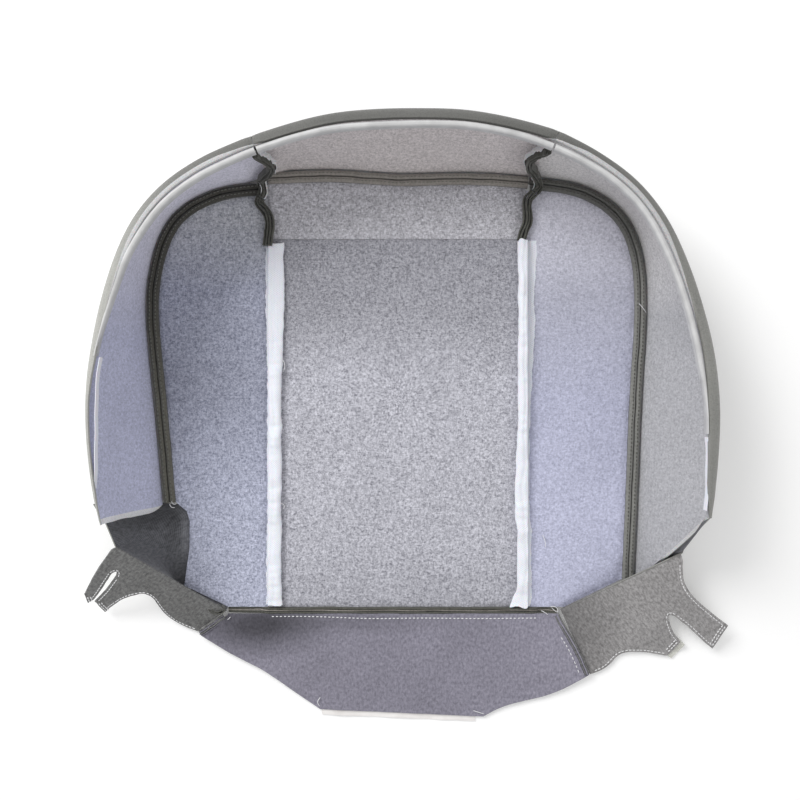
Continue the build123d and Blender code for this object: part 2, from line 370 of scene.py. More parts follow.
def slab(cloth, flat, faces, top, bottom, paints, round_edge):
    """A sheet between two surfaces over one flat patch, with a rounded edge."""
    count = len(flat)
    directed = {(f[i], f[(i + 1) % len(f)]) for f in faces for i in range(len(f))}
    border = [(a, b) for a, b in directed if (b, a) not in directed]
    border.sort()
    used = sorted({i for edge in border for i in edge})
    seat = {i: 2 * count + k for k, i in enumerate(used)}
    outward = np.zeros((count, 3))
    up = unit(top - bottom)
    for a, b in border:
        side = np.cross(top[b] - top[a], up[a])
        outward[a] += side
        outward[b] += side
    outward = unit(outward)
    depth = np.linalg.norm(top - bottom, axis=1)[:, None]
    middle = ((top + bottom) / 2 + outward * depth * round_edge)[used]
    all_faces = list(faces) + [tuple(count + i for i in reversed(f)) for f in faces]
    sides = []
    for a, b in border:
        sides.append((b, a, seat[a], seat[b]))
        sides.append((seat[b], seat[a], count + a, count + b))
    paint = [paints[0]] * len(faces) + [paints[1]] * len(faces) + [paints[2]] * len(sides)
    cloth.add(
        np.concatenate([top, bottom, middle]),
        all_faces + sides,
        paint,
        np.concatenate([flat, flat, flat[used]]),
    )


THREAD_SIDES = 6
# Along a stitch: shares of its length, of its radius, and of its radius over the cloth.
STITCH_SHAPE = np.array([
    (-0.5, 0.35, -1.1), (-0.36, 0.9, 0.15), (0, 1, 0.45), (0.36, 0.9, 0.15), (0.5, 0.35, -1.1),
])


def round_thread(cloth, line, across, above, radius):
    """A round thread along a line, with a radius for each point."""
    turn = np.arange(THREAD_SIDES) * tau / THREAD_SIDES
    circle = np.cos(turn)[:, None] * across[..., None, :] + np.sin(turn)[:, None] * above[..., None, :]
    sweep(cloth, line[:, None] + radius[:, None, None] * circle)


def stitch_row(cloth, line, up, pitch, length, radius, lift):
    """Stitches along a line: short threads whose ends dive into the cloth."""
    way = length_along(line)
    up = np.broadcast_to(up, line.shape)
    for number, at in enumerate(np.arange(pitch / 2, way[-1] - pitch * 0.3, pitch)):
        if 1 < at < way[-1] - 1:
            along = unit(read_at(at + 1.0, way, line) - read_at(at - 1.0, way, line))
        else:
            along = unit(line[-1] - line[0])
        above = unit(read_at(at, way, up))
        wobble = 0.05 * length * sin(number * 2.4)
        places, fat, high = STITCH_SHAPE.T
        off = np.outer(places * length + wobble, along) + np.outer(lift + high * radius, above)
        across = unit(np.cross(along, above))
        round_thread(cloth, read_at(at, way, line) + off, across, above, fat * radius)


def strand(cloth, points, radius):
    """A loose thread through the points, thinner at its end."""
    line = curve(points, 24)
    along = unit(np.gradient(line, axis=0))
    across = unit(np.cross(along, np.array([0.13, 0.21, 0.97])))
    thin = radius * (1 - 0.5 * smooth(0.85, 1.0, np.linspace(0, 1, len(line))))
    round_thread(cloth, line, across, np.cross(across, along), thin)


# ---- finishes ----

def colour(red, green, blue):
    """A display colour, 0 to 255, as the linear values that shaders take."""
    linear = []
    for share in (red / 255, green / 255, blue / 255):
        linear.append(share / 12.92 if share <= 0.04045 else ((share + 0.055) / 1.055) ** 2.4)
    return (*linear, 1.0)


class Finish:
    """A material built from procedural nodes. Texture scales are in cycles for each metre."""

    def __init__(self, name, roughness, **fixed):
        self.material = bpy.data.materials.new(name)
        self.material.use_nodes = True
        self.tree = self.material.node_tree
        self.shader = self.tree.nodes["Principled BSDF"]
        self.shader.inputs["Roughness"].default_value = roughness
        for socket, value in fixed.items():
            self.shader.inputs[socket.replace("_", " ")].default_value = value
        self.solid = self.node("TexCoord").outputs["Object"]
        self.flat = self.node("UVMap", uv_map="cloth").outputs["UV"]

    def node(self, kind, links=(), **settings):
        """A node, with values or other nodes' outputs on its sockets."""
        made = self.tree.nodes.new("ShaderNode" + kind)
        for key, value in settings.items():
            setattr(made, key, value)
        for socket, value in dict(links).items():
            if isinstance(value, bpy.types.NodeSocket):
                self.tree.links.new(value, made.inputs[socket])
            else:
                made.inputs[socket].default_value = value
        return made

    def stretched(self, where, stretch, turn=0.0):
        links = {"Vector": where, "Scale": stretch, "Rotation": (0, 0, turn)}
        return self.node("Mapping", links).outputs["Vector"]

    def noise(self, scale, detail=2.0, where=None, rough=0.5, twist=0.0):
        links = {"Vector": where or self.solid, "Scale": scale, "Detail": detail}
        links |= {"Roughness": rough, "Distortion": twist}
        return self.node("TexNoise", links).outputs["Fac"]

    def cells(self, scale, where=None, scatter=1.0):
        links = {"Vector": where or self.solid, "Scale": scale, "Randomness": scatter}
        return self.node("TexVoronoi", links).outputs["Distance"]

    def bands(self, scale, where=None, twist=0.0, way="X"):
        links = {"Vector": where or self.flat, "Scale": scale, "Distortion": twist}
        return self.node("TexWave", links, bands_direction=way).outputs["Fac"]

    def spread(self, value, low, high, to_low=0.0, to_high=1.0):
        """The value stretched from one range to another."""
        links = {"Value": value, "From Min": low, "From Max": high}
        links |= {"To Min": to_low, "To Max": to_high}
        return self.node("MapRange", links).outputs["Result"]

    def sum(self, a, b, share=0.5):
        """A share of b and the rest of a."""
        first = self.node("Math", {0: a, 1: 1 - share}, operation="MULTIPLY").outputs[0]
        return self.node("Math", {0: b, 1: share, 2: first}, operation="MULTIPLY_ADD").outputs[0]

    def mix(self, share, a, b, blend="MIX"):
        return self.node("Mix", {0: share, 6: a, 7: b}, data_type="RGBA", blend_type=blend).outputs[2]

    def times(self, base, factor):
        return self.mix(1.0, base, factor, "MULTIPLY")

    def fade(self, base, axis, low, high, at_low, at_high, tint=(1, 1, 1)):
        """Painted light and shade: the colour made lighter or darker, and tinted, from one place to another
        along an axis.
        """
        place = self.node("SeparateXYZ", {0: self.solid}).outputs[axis]
        near = (at_low, at_low, at_low, 1.0)
        far = tuple(at_high * part for part in tint) + (1.0,)
        return self.times(base, self.mix(self.spread(place, low, high), near, far))

    def spot(self, base, centre, size, amount):
        """Painted shade at a place, turned into a painted highlight by an amount above 1: the colour times
        amount there, and less so out to about the size given.
        """
        links = {"Vector": self.solid, "Scale": (1 / size[0], 1 / size[1], 0)}
        links |= {"Location": (-centre[0] / size[0], -centre[1] / size[1], 0)}
        off = self.node("Mapping", links).outputs["Vector"]
        far = self.node("VectorMath", {0: off}, operation="LENGTH").outputs["Value"]
        return self.times(base, self.spread(far, 0.3, 1.4, amount, 1.0))

    def uneven(self, base, scale, share, fades, spots=()):
        """The colour with wide soft patches lighter and darker by a share, then its fades and spots of
        painted light and shade.
        """
        base = self.times(base, self.spread(self.noise(scale), 0.3, 0.7, 1 - share, 1 + share))
        for fade in fades:
            base = self.fade(base, *fade)
        for spot in spots:
            base = self.spot(base, *spot)
        return base

    def use(self, base, height=None, depth=0.0003, strength=1.0, roughness=None):
        """Connects a colour, a height in bump depth metres and a roughness to the shader."""
        self.tree.links.new(base, self.shader.inputs["Base Color"])
        if height is not None:
            links = {"Height": height, "Distance": depth, "Strength": strength}
            normal = self.node("Bump", links).outputs["Normal"]
            self.tree.links.new(normal, self.shader.inputs["Normal"])
        if roughness is not None:
            self.tree.links.new(roughness, self.shader.inputs["Roughness"])
        return self.material


def scrim(name, light, dark, contrast, fades=()):
    """Grey non-woven scrim on the back of the foam: a felt of fine light and dark fibres."""
    f = Finish(name, 0.93, Sheen_Weight=0.08, Sheen_Roughness=0.6)
    speck = f.noise(400, rough=0.6)
    fine = f.noise(830, 1.0)
    fibre_a = f.noise(200, 1.0, f.stretched(f.solid, (1.0, 3.4, 1.6), 0.5), twist=0.5)
    fibre_b = f.noise(200, 1.0, f.stretched(f.solid, (3.4, 1.0, 1.6), 0.3), twist=0.5)
    felt = f.sum(f.sum(fibre_a, fibre_b), f.sum(speck, fine, 0.4), 0.72)
    width = 0.16 / contrast
    tone = f.spread(felt, 0.5 - width, 0.5 + width)
    base = f.mix(tone, colour(*dark), colour(*light))
    return f.use(f.uneven(base, 17, 0.03, fades), felt, 0.0006, 0.5)


def vinyl(name, tone, gloss, fades=()):
    """Leather-grained vinyl: pebbles between fine creases, darker where the creases are."""
    f = Finish(name, gloss, Specular_IOR_Level=0.42, Coat_Weight=0.04, Coat_Roughness=0.35)
    drift = f.node("TexNoise", {"Vector": f.solid, "Scale": 300.0}).outputs["Color"]
    warped = f.mix(0.0014, f.solid, drift, "ADD")
    pebble = f.cells(900, warped)
    fine = f.cells(2100, warped)
    grain = f.spread(f.sum(pebble, fine, 0.3), 0.12, 0.75, 1.0, 0.0)
    base = f.mix(f.spread(grain, 0.0, 0.55), colour(*[c * 0.9 for c in tone]), colour(*tone))
    base = f.uneven(base, 18, 0.07, fades)
    rough = f.spread(grain, 0.0, 1.0, gloss + 0.18, gloss - 0.06)
    return f.use(base, grain, 0.00016, 0.6, rough)


def knit(name, light, dark, ribs=1050.0, contrast=1.0, fades=(), spots=()):
    """Brushed knit backing: fine ribs along the cloth with a mottled, brushed nap."""
    f = Finish(name, 0.92, Sheen_Weight=0.2, Sheen_Roughness=0.5)
    ribs_a = f.bands(ribs / tau * 2.0, f.flat, 1.4, "X")
    loops = f.bands(ribs / tau * 1.5, f.flat, 2.2, "Y")
    nap = f.noise(500, 2.0, f.stretched(f.flat, (1.0, 0.55, 1.0)), 0.6, 0.4)
    blot = f.noise(300, 2.0, f.flat)
    weave = f.sum(f.sum(ribs_a, loops, 0.4), nap, 0.62)
    width = 0.17 / contrast
    tone = f.spread(f.sum(weave, blot, 0.3), 0.5 - width, 0.5 + width)
    base = f.mix(tone, colour(*dark), colour(*light))
    return f.use(f.uneven(base, 16, 0.06, fades, spots), weave, 0.0004, 0.55)


def felt_white(name, light, shade):
    """White spun-bonded cloth: tiny pressed dots in rows and a few stray fibres."""
    f = Finish(name, 0.82, Sheen_Weight=0.15, Subsurface_Weight=0.12, Subsurface_Scale=0.002)
    dots = f.cells(760, f.stretched(f.flat, (1.0, 0.8, 1.0), pi / 4), 0.12)
    fibres = f.noise(520, 3.0, f.stretched(f.flat, (3.4, 1.0, 1.0), 0.35), 0.6, 0.8)
    height = f.sum(f.spread(dots, 0.1, 0.42), fibres, 0.45)
    tone = f.spread(f.sum(height, f.noise(40), 0.35), 0.25, 0.62)
    return f.use(f.mix(tone, colour(*shade), colour(*light)), height, 0.00022, 0.6)


def moulded(name, light, shade, roughness, clear=0.0):
    """Extruded or punched plastic: draw lines along it and a faint haze."""
    f = Finish(name, roughness, Transmission_Weight=clear, Specular_IOR_Level=0.5)
    lines = f.noise(240, 2.0, f.stretched(f.flat, (0.05, 3.0, 1.0)))
    haze = f.noise(90, 3.0)
    tone = f.spread(f.sum(lines, haze), 0.35, 0.62)
    rough = f.spread(haze, 0.3, 0.7, roughness - 0.08, roughness + 0.12)
    return f.use(f.mix(tone, colour(*shade), colour(*light)), lines, 0.0001, 0.5, rough)


def thread(name, light, shade):
    """Twisted polyester sewing thread."""
    f = Finish(name, 0.6, Sheen_Weight=0.2, Specular_IOR_Level=0.35)
    twist = f.bands(700.0, f.stretched(f.flat, (1.0, 1.0, 1.0), 0.8), 0.3)
    tone = f.sum(twist, f.noise(1900), 0.4)
    return f.use(f.mix(tone, colour(*shade), colour(*light)), twist, 0.00012, 0.6)


def foam(name, light, shade):
    """Cut foam: open pores all over."""
    f = Finish(name, 0.97, Subsurface_Weight=0.1, Subsurface_Scale=0.002)
    pores = f.cells(1100)
    height = f.sum(f.spread(pores, 0.05, 0.6), f.noise(1500), 0.4)
    tone = f.spread(height, 0.2, 0.7)
    return f.use(f.mix(tone, colour(*shade), colour(*light)), height, 0.0004, 0.8)


# Fades are painted light and shade: an axis, two places on it in metres, the shares of light there and a
# tint for the second.
# Spots are painted shade and painted highlights: a centre and a size in metres, and the share of light
# there.
# Painted shade on the insert: darker towards the front, where the front wall shades it; also darker along
# its rear edge.
INSERT_SCRIM = scrim(
    "scrim_insert", (212, 212, 221), (124, 124, 133), 1.25,
    fades=[("Y", 0.02, 0.085, 1.0, 0.72), ("Y", -0.19, -0.14, 0.86, 1.0)],
)
FRONT_SCRIM = scrim("scrim_front_panel", (220, 219, 226), (132, 131, 137), 1.2)
# Painted light and shade on the left bolster: lighter at the rear, darker in the middle where the left wall
# shades it, lighter and warmer towards the front.
LEFT_SCRIM = scrim(
    "scrim_left", (190, 193, 211), (112, 116, 133), 1.2,
    fades=[
        ("Y", -0.1, 0.0, 1.16, 0.84), ("Y", 0.02, 0.1, 1.0, 1.17),
        ("Y", 0.11, 0.18, 1.0, 1.3, (1, 0.975, 0.84)),
    ],
)
# Painted light on the right bolster: lighter and warmer towards the front, and a little lighter at the
# rear.
RIGHT_SCRIM = scrim(
    "scrim_right", (201, 203, 225), (146, 148, 169), 1.05,
    fades=[
        ("Y", 0.1, 0.18, 1.0, 1.5, (1, 0.985, 0.93)), ("Y", 0.0, 0.1, 1.0, 0.97, (1, 0.985, 0.92)),
        ("Y", -0.1, 0.0, 1.08, 1.0),
    ],
)
# Painted light on the left wall: lighter and warmer towards its front corner, against the shade there.
LEFT_WALL = scrim(
    "scrim_left_wall", (209, 211, 236), (162, 165, 187), 1.1,
    fades=[("Y", 0.06, 0.17, 1.0, 1.5, (1, 0.96, 0.84))],
)
# Painted light on the right wall: lighter and warmer towards its front corner, against the shade there.
RIGHT_WALL = scrim(
    "scrim_right_wall", (193, 193, 197), (147, 147, 151), 1.1,
    fades=[("Y", 0.08, 0.18, 1.0, 1.75, (1, 0.975, 0.92))],
)
WARM_SCRIM = scrim("scrim_front_wall", (236, 229, 229), (174, 168, 168), 1.1)
# Painted light and shade on the vinyl's rim hems: darker at the front, lighter at the far left and far
# right.
FACE_VINYL = vinyl(
    "grey_vinyl", (134, 134, 130), 0.5,
    fades=[("Y", 0.12, 0.22, 1.0, 0.52), ("X", -0.27, -0.2, 1.75, 1.0), ("X", 0.2, 0.28, 1.0, 1.15)],
)
HEM_FOAM = foam("turned_in_foam", (192, 192, 193), (156, 156, 158))
FOAM_EDGE = foam("cut_foam", (228, 228, 230), (184, 184, 188))
DARK_ALLOWANCE = knit("dark_seam_allowance", (96, 96, 88), (54, 54, 50), 1300.0, 0.8)
ALLOWANCE = knit("seam_allowance", (168, 162, 156), (116, 112, 107), 1300.0, 0.8)
# Copies of the seam allowance cloth for the side bands: set darker on the left as painted shade and lighter
# on the right as painted light, each darkening into its front corner as painted shade.
SHADED_ALLOWANCE = knit(
    "shaded_left_seam_allowance", (116, 114, 104), (70, 69, 63), 1300.0, 0.8,
    fades=[("Y", 0.0, 0.12, 1.0, 0.5)],
)
LIT_ALLOWANCE = knit(
    "lit_right_seam_allowance", (146, 146, 142), (104, 104, 100), 1300.0, 0.8,
    fades=[("Y", 0.1, 0.17, 1.0, 0.66)],
)
# Painted light and shade on the tongue: lighter to the right, a painted shadow in the hollow at its left
# end and a painted shadow strip along the binding.
TONGUE_KNIT = knit(
    "tongue_knit", (154, 151, 165), (98, 96, 108),
    fades=[("X", 0.05, 0.14, 1.0, 1.14)],
    spots=[((-0.142, -0.224), (0.058, 0.026), 0.3), ((-0.06, -0.219), (0.09, 0.012), 0.75)],
)
# Painted shade on the right flap: darker at its inner end, near the tongue seam.
FLAP_KNIT = knit(
    "flap_knit", (170, 168, 168), (106, 104, 104), contrast=1.3,
    fades=[("X", 0.165, 0.225, 0.62, 1.06)],
)
STRAP_KNIT = knit("strap_knit", (134, 134, 133), (74, 74, 74), contrast=1.4)
# Painted light and shade on the gussets: darker at the left, lighter to the right; painted shade under the
# wall hem, at the bottom of the left pocket and beside the rolled edge, and a painted highlight on that
# edge. Its dark base colour is partly the cloth's own and partly painted shade of the deep pocket.
DARK_KNIT = knit(
    "gusset_knit", (116, 117, 122), (60, 61, 65),
    fades=[("X", -0.235, -0.205, 0.9, 1.15)],
    spots=[
        ((-0.246, -0.114), (0.034, 0.012), 0.5), ((-0.219, -0.192), (0.02, 0.03), 0.5),
        ((-0.2255, -0.128), (0.006, 0.03), 0.72), ((-0.2125, -0.128), (0.005, 0.028), 1.4),
    ],
)
SLEEVE_CLOTH = felt_white("sleeve_cloth", (238, 238, 245), (206, 208, 217))
WHITE_PLASTIC = moulded("retainer_plastic", (208, 208, 208), (184, 184, 184), 0.5)
STRIP_PLASTIC = moulded("strip_plastic", (244, 241, 239), (226, 222, 220), 0.45)
CLEAR_PLASTIC = moulded("clip_plastic", (240, 240, 234), (224, 224, 216), 0.22, 0.45)
WHITE_THREAD = thread("white_thread", (250, 250, 250), (214, 214, 218))
GREY_THREAD = thread("grey_thread", (132, 132, 124), (92, 92, 86))
DARK_THREAD = thread("dark_thread", (84, 82, 76), (52, 51, 48))


# ---- flat panels: vinyl face on the floor, foam and scrim above it ----

seam_lines = {
    "left": curve(LEFT_SEAM, 190),
    "front": curve(FRONT_SEAM, 110),
    "right": curve(RIGHT_SEAM, 230),
}
CLEAR = 0.25                       # between neighbouring pieces that are sewn edge to edge
PLY_GAP = 0.05                     # between the vinyl and its foam

panel_edges = {side: shifted(line, -TAPE_HALF - CLEAR) for side, line in seam_lines.items()}


def closed_outline(*parts, gap=4.0):
    """One closed outline from lines and corner points, with no doubled points."""
    joined = np.vstack([np.atleast_2d(np.array(part, float)) for part in parts])
    ring = spaced([tuple(p) for p in joined] + [tuple(joined[0])], gap)[:-1]
    apart = np.linalg.norm(ring - np.roll(ring, 1, axis=0), axis=1) > 0.25
    return ring[apart]


left, right, lap = INSERT_LEFT + CLEAR, INSERT_RIGHT - CLEAR, INSERT_FRONT - CLEAR
insert_outline = closed_outline([(left, PANEL_REAR), (right, PANEL_REAR), (right, lap), (left, lap)])

edge = panel_edges["front"]
edge = edge[(edge[:, 0] > left + 1) & (edge[:, 0] < right - 1)]
lap = INSERT_FRONT + CLEAR
front_outline = closed_outline(edge, [(right, edge[-1][1]), (right, lap), (left, lap), (left, edge[0][1])])

edge = panel_edges["left"]
beside = INSERT_LEFT - CLEAR
edge = edge[edge[:, 0] < beside - 1]
rear_corner = [(-171, PANEL_REAR), (-214.5, -184.5), (-209.5, -150), (-209, -121), (-212, -110.5)]
left_outline = closed_outline(edge, [(beside, edge[-1][1]), (beside, PANEL_REAR)], rear_corner)

edge = panel_edges["right"]
beside = INSERT_RIGHT + CLEAR
edge = edge[edge[:, 0] > beside + 1]
right_outline = closed_outline(edge, [(163, PANEL_REAR), (beside, PANEL_REAR), (beside, edge[0][1])])

PUCKER_LENGTH = 13.0
# Where each fold crosses the insert, and how deep it is.
folds = [(-142.0, 0.45), (-154.0, 0.6), (88.0, 0.25)]


def panel_top(flat, outline, seed):
    """Height of the scrim: soft waves, puckers beside the seams and a thinner sewn edge."""
    near = edge_distance(flat, outline)
    height = LAMINATE + 0.55 * ripple(flat, 95, seed) + 0.22 * ripple(flat, 24, seed + 1)
    pucker = ripple(flat, PUCKER_LENGTH, seed + 2) * (1 - smooth(1, 13, near))
    height += 0.45 * pucker - 1.1 * (1 - smooth(0, 4.5, near))
    for fold_y, deep in folds:
        run = smooth(-120, -70, flat[:, 0]) * (1 - smooth(40, 110, flat[:, 0]))
        line = fold_y + 1.2 * np.sin(flat[:, 0] / 31 + fold_y)
        height -= deep * run * np.exp(-((flat[:, 1] - line) / 1.7) ** 2)
    return height


# Each panel's outline, backing, seed and flat size in metres.
panels = {
    "insert": (insert_outline, INSERT_SCRIM, 11, (0.2556, 0.3653)),
    "front_panel": (front_outline, FRONT_SCRIM, 21, (0.2555, 0.0585)),
    "left_bolster": (left_outline, LEFT_SCRIM, 31, (0.112, 0.4135)),
    "right_bolster": (right_outline, RIGHT_SCRIM, 41, (0.1095, 0.4165)),
}


for panel, (outline, back, seed, flat_size) in panels.items():
    flat, faces = patch(outline, 3.6)
    top = with_z(flat, panel_top(flat, outline, seed))
    backing = Cloth()
    slab(backing, flat, faces, top, with_z(flat, SKIN + PLY_GAP), (0, 1, 1), 0.08)
    made = backing.make(f"{panel}_backing", [back, FOAM_EDGE], "foam_scrim", f"{panel}_foam")

    flat, faces = patch(outline, 9.0, (1.2, 3.0))
    rise = 0.85 * (1 - smooth(0, 3.0, edge_distance(flat, outline)))
    face = Cloth()
    slab(face, flat, faces, with_z(flat, SKIN), with_z(flat, rise * 0.9), (1, 0, 0), 0.1)
    made = face.make(f"{panel}_face", [FACE_VINYL, FOAM_EDGE], "vinyl", f"{panel}_skin")

# ---- side walls ----

WALL_FOOT = 12.6                   # how far outside its seam the wall turns up
FOOT_Z = 5.5
# Each wall's seam, bulge line, rows, backing and seed.
walls = {
    "left": (LEFT_SEAM, LEFT_BULGE, 150, LEFT_WALL, 51),
    "front": (FRONT_SEAM, FRONT_BULGE, 110, WARM_SCRIM, 61),
    "right": (RIGHT_SEAM[:-1] + [RIGHT_WALL_FOOT], RIGHT_BULGE, 170, RIGHT_WALL, 71),
}
# From the seam out: how far out, and z.
foot_profile = [(0.5, 0.95), (1.6, 0.3), (4.0, 0.05), (7.5, 0.1), (10.0, 0.9), (11.7, 2.6)]
# Where the wall's columns lie between its foot and its bulge line.
rise_shares = [0.0, 0.03, 0.08, 0.15, 0.23, 0.32, 0.41, 0.5, 0.59, 0.68, 0.77, 0.86, 0.94]
# Over the rim: how far in from the bulge line, and z.
rim_profile = [
    (0.0, 90.0), (0.5, 93.5), (1.6, 97.0), (3.4, 100.0), (5.8, 102.6), (8.4, 104.6),
    (10.8, 105.8), (12.5, 105.9), (13.2, 104.9), (13.4, 102.8),
]
HEM_COLUMN = 5                     # of the rim's own columns, the one where the vinyl ends
NO_HEM = 8.7
# How far round the rim, in points of its profile, the vinyl reaches at shares along each wall.
turned_hems = {
    "left": ([0.34, 0.5, 0.62, 0.92, 1.0], [NO_HEM, 6.6, 5.3, 5.3, 6.6]),
    "front": ([0, 0.03, 0.97, 1], [6.6, NO_HEM, NO_HEM, 6.6]),
    "right": ([0, 0.07, 0.34, 0.44, 0.56], [6.6, 5.2, 5.4, 6.6, NO_HEM]),
}
# How far the rim of each wall rolls in, as shares at places along y.
rim_roll = {
    "left": ([-108, -85, 0, 44, 100, 140], [0.2, 0.42, 0.5, 0.74, 0.9, 1.0]),
    "front": ([0, 300], [1.0, 1.0]),
    "right": ([-106, -95, -75, -40, 0, 60], [0.3, 0.6, 0.85, 1.05, 1.1, 1.0]),
}
foot_count = len(foot_profile)
wall_columns = foot_count + len(rise_shares) + len(rim_profile)
BOW = 2.6                          # how far a wall stands out between its foot and its bulge line
REAR_DROP = 9.0                    # how much lower the rim ends at the rear


def wall_grid(side, seam, bulge, count, seed):
    """The outer face of a wall, from its seam up over its rim, as rows along the wall."""
    knots = length_along(np.array(bulge, float))
    at = np.interp(np.linspace(0, knots[-1], count), knots, np.arange(len(bulge)))
    foot_line, bulge_line = spline(seam, at), relaxed(spline(bulge, at), 40)
    foot_out, bulge_out = sideways(foot_line), sideways(bulge_line)
    columns = [with_z(foot_line + foot_out * out, z) for out, z in foot_profile]
    low = with_z(foot_line + foot_out * WALL_FOOT, FOOT_Z)
    high = with_z(bulge_line, BULGE_Z)
    for share in rise_shares:
        here = low + (high - low) * share
        here[:, :2] += bulge_out * (BOW * sin(pi * share) ** 0.8)
        columns.append(here)
    roll = np.interp(bulge_line[:, 1], *rim_roll[side])
    drop = REAR_DROP * (1 - smooth(-112, -84, bulge_line[:, 1]))
    reach = np.interp(np.linspace(0, 1, count), *turned_hems[side])
    last = len(rim_profile) - 1
    for column in range(last + 1):
        past = max(column - HEM_COLUMN, 0) / (last - HEM_COLUMN)
        reached = reach * min(column / HEM_COLUMN, 1) + (last - reach) * past
        back, z = read_at(reached, range(last + 1), rim_profile).T
        rolled = bulge_line - bulge_out * (back * roll)[:, None]
        columns.append(with_z(rolled, z - drop * (z - BULGE_Z) / (RIM_Z - BULGE_Z)))
    grid = np.stack(columns, axis=1)
    share = np.linspace(0, 1, wall_columns)
    free = smooth(0.18, 0.4, share) * (1 - 0.8 * smooth(0.42, 0.66, share))
    wave = ripple(grid, 120, seed) * 1.5 + ripple(grid * (1, 1, 0.35), 42, seed + 1) * 0.5
    grid[..., :2] += bulge_out[:, None] * (wave * free)[..., None]
    return grid


JOIN_ROWS = 9                      # of each wall, those that bend to meet its neighbour


def join_ends(first, second):
    """Brings the end of one wall and the start of the next together, and dips the seam at the rim."""
    meet = (first[-1] + second[0]) / 2
    close = 0.94 + 0.06 * smooth(0.1, 0.4, np.linspace(0, 1, wall_columns))[:, None]
    for grid, ends in ((first, range(-1, -JOIN_ROWS - 1, -1)), (second, range(JOIN_ROWS))):
        shift = meet - grid[ends[0]]
        along = unit(grid[ends[0]] - grid[ends[3]])
        for step, row in enumerate(ends):
            fade = 1 - smooth(0, JOIN_ROWS, step)
            grid[row] += (shift - along * 0.2) * close * fade
            grid[row][:, 2] -= 1.6 * close[:, 0] ** 8 * (1 - smooth(0, 2.5, step))


SHAVED = 5.5                       # how far the vinyl runs on past the foam at the left wall's rear
grids = {}
for side, (seam, bulge, count, back, seed) in walls.items():
    grids[side] = wall_grid(side, seam, bulge, count, seed)
join_ends(grids["left"], grids["front"])
join_ends(grids["front"], grids["right"])

for side, (seam, bulge, count, back, seed) in walls.items():
    grid = grids[side]
    outward = normals(grid)
    middle = (count // 2, wall_columns // 2)
    outward *= np.sign(outward[middle] @ (grid[middle] * (1, 1, 0)))
    share = np.linspace(0, 1, wall_columns)
    reach = np.interp(np.linspace(0, 1, count - 1), *turned_hems[side])
    past_hem = np.arange(wall_columns - 1) >= wall_columns - len(rim_profile) + HEM_COLUMN
    turned_in = past_hem[None] & (reach < NO_HEM - 0.1)[:, None]
    skin_piece = Cloth()
    thin = SKIN * (1 - 0.25 * smooth(0.8, 1, share))[None]
    shell(skin_piece, grid, thin, (turned_in.ravel().astype(int), 1, 0), outward)
    first = foot_count - 2         # the foam starts where the wall turns up
    foam_share = np.linspace(0, 1, wall_columns - first)
    deep = 3.2 + 1.6 * smooth(0.06, 0.25, foam_share) - 4.3 * smooth(0.54, 0.78, foam_share)
    foam_face = grid[:, first:] - outward[:, first:] * (SKIN + PLY_GAP)
    foam_piece = Cloth()
    shell(foam_piece, foam_face, deep[None], (1, 0, 1), outward[:, first:])
    if side == "left":
        # The rear end is cut on a slant, and the vinyl and scrim run on past the foam there.
        rear = unit(grid[0] - grid[2])
        slant = (11.0 * share**1.2 - 12.0 * smooth(0.84, 1.0, share))[:, None] * rear
        spare = SHAVED * smooth(0.1, 0.3, share) * (1 - 0.9 * smooth(0.8, 0.95, share))
        shaved = slant + spare[:, None] * rear
        skin_piece.points[0].reshape(2, count, wall_columns, 3)[:, 0] += shaved
        foam_rows = foam_piece.points[0].reshape(2, count, wall_columns - first, 3)
        foam_rows[0, 0] += shaved[first:]
        foam_rows[1, 0] += slant[first:]
    made = skin_piece.make(f"{side}_wall_face", [FACE_VINYL, HEM_FOAM], "vinyl", f"{side}_boxing_skin")
    tall = length_along(grid[middle[0]])[-1] * METRES
    made = foam_piece.make(f"{side}_wall_backing", [back, FOAM_EDGE], "foam_scrim", f"{side}_boxing_foam")

# ---- perimeter seams: two allowances pressed open, each top-stitched ----

# Half of the band's section: how far out from the seam, and z.
band_half = [
    (0.35, 1.6), (0.4, 6.6), (0.9, 8.1), (1.8, 8.55), (3.3, 8.5), (4.2, 8.15), (4.45, 7.5),
    (5.1, 7.35), (5.5, 6.9), (5.45, 5.9), (5.3, 1.6),
]
STITCH_OUT = 2.9
# The left and right bands use the copies with painted shade and painted light.
band_cloth = {"left": SHADED_ALLOWANCE, "front": ALLOWANCE, "right": LIT_ALLOWANCE}
band_thread = {"left": GREY_THREAD, "front": GREY_THREAD, "right": DARK_THREAD}
for side, line in seam_lines.items():
    band = Cloth()
    rows = Cloth()
    height = 0.25 * ripple(line, 33, 81)
    sway = 0.3 * ripple(line, 27, 82)
    for turn in (-1, 1):
        rings = []
        for out, z in band_half:
            top = smooth(5.0, 8.0, z)
            rings.append(with_z(shifted(line, out * turn + sway * top), z + height * top))
        sweep_lines(band, rings[::turn])
        sewn = with_z(shifted(line, STITCH_OUT * turn + sway), 8.5 + height)
        stitch_row(rows, sewn, (0, 0, 1), 3.8, 2.4, 0.5, 0.05)
        outside = with_z(shifted(line, 4.0 * turn), 0.15)
        stitch_row(rows, outside, (0, 0, -1), 3.6, 2.6, 0.3, -0.1)
    band.make(f"{side}_seam_band", [band_cloth[side]], "seam_allowance", f"{side}_perimeter_seam")
    rows.make(f"{side}_seam_stitches", [band_thread[side]], "seam_allowance")

# ---- rim: J strips of white plastic, and a thin edge tape where they stop ----

HOOK_R = 2.8
HOOK_T = 1.2
RIM_FIT = 17.2                     # from the bulge line in to the middle of the hook
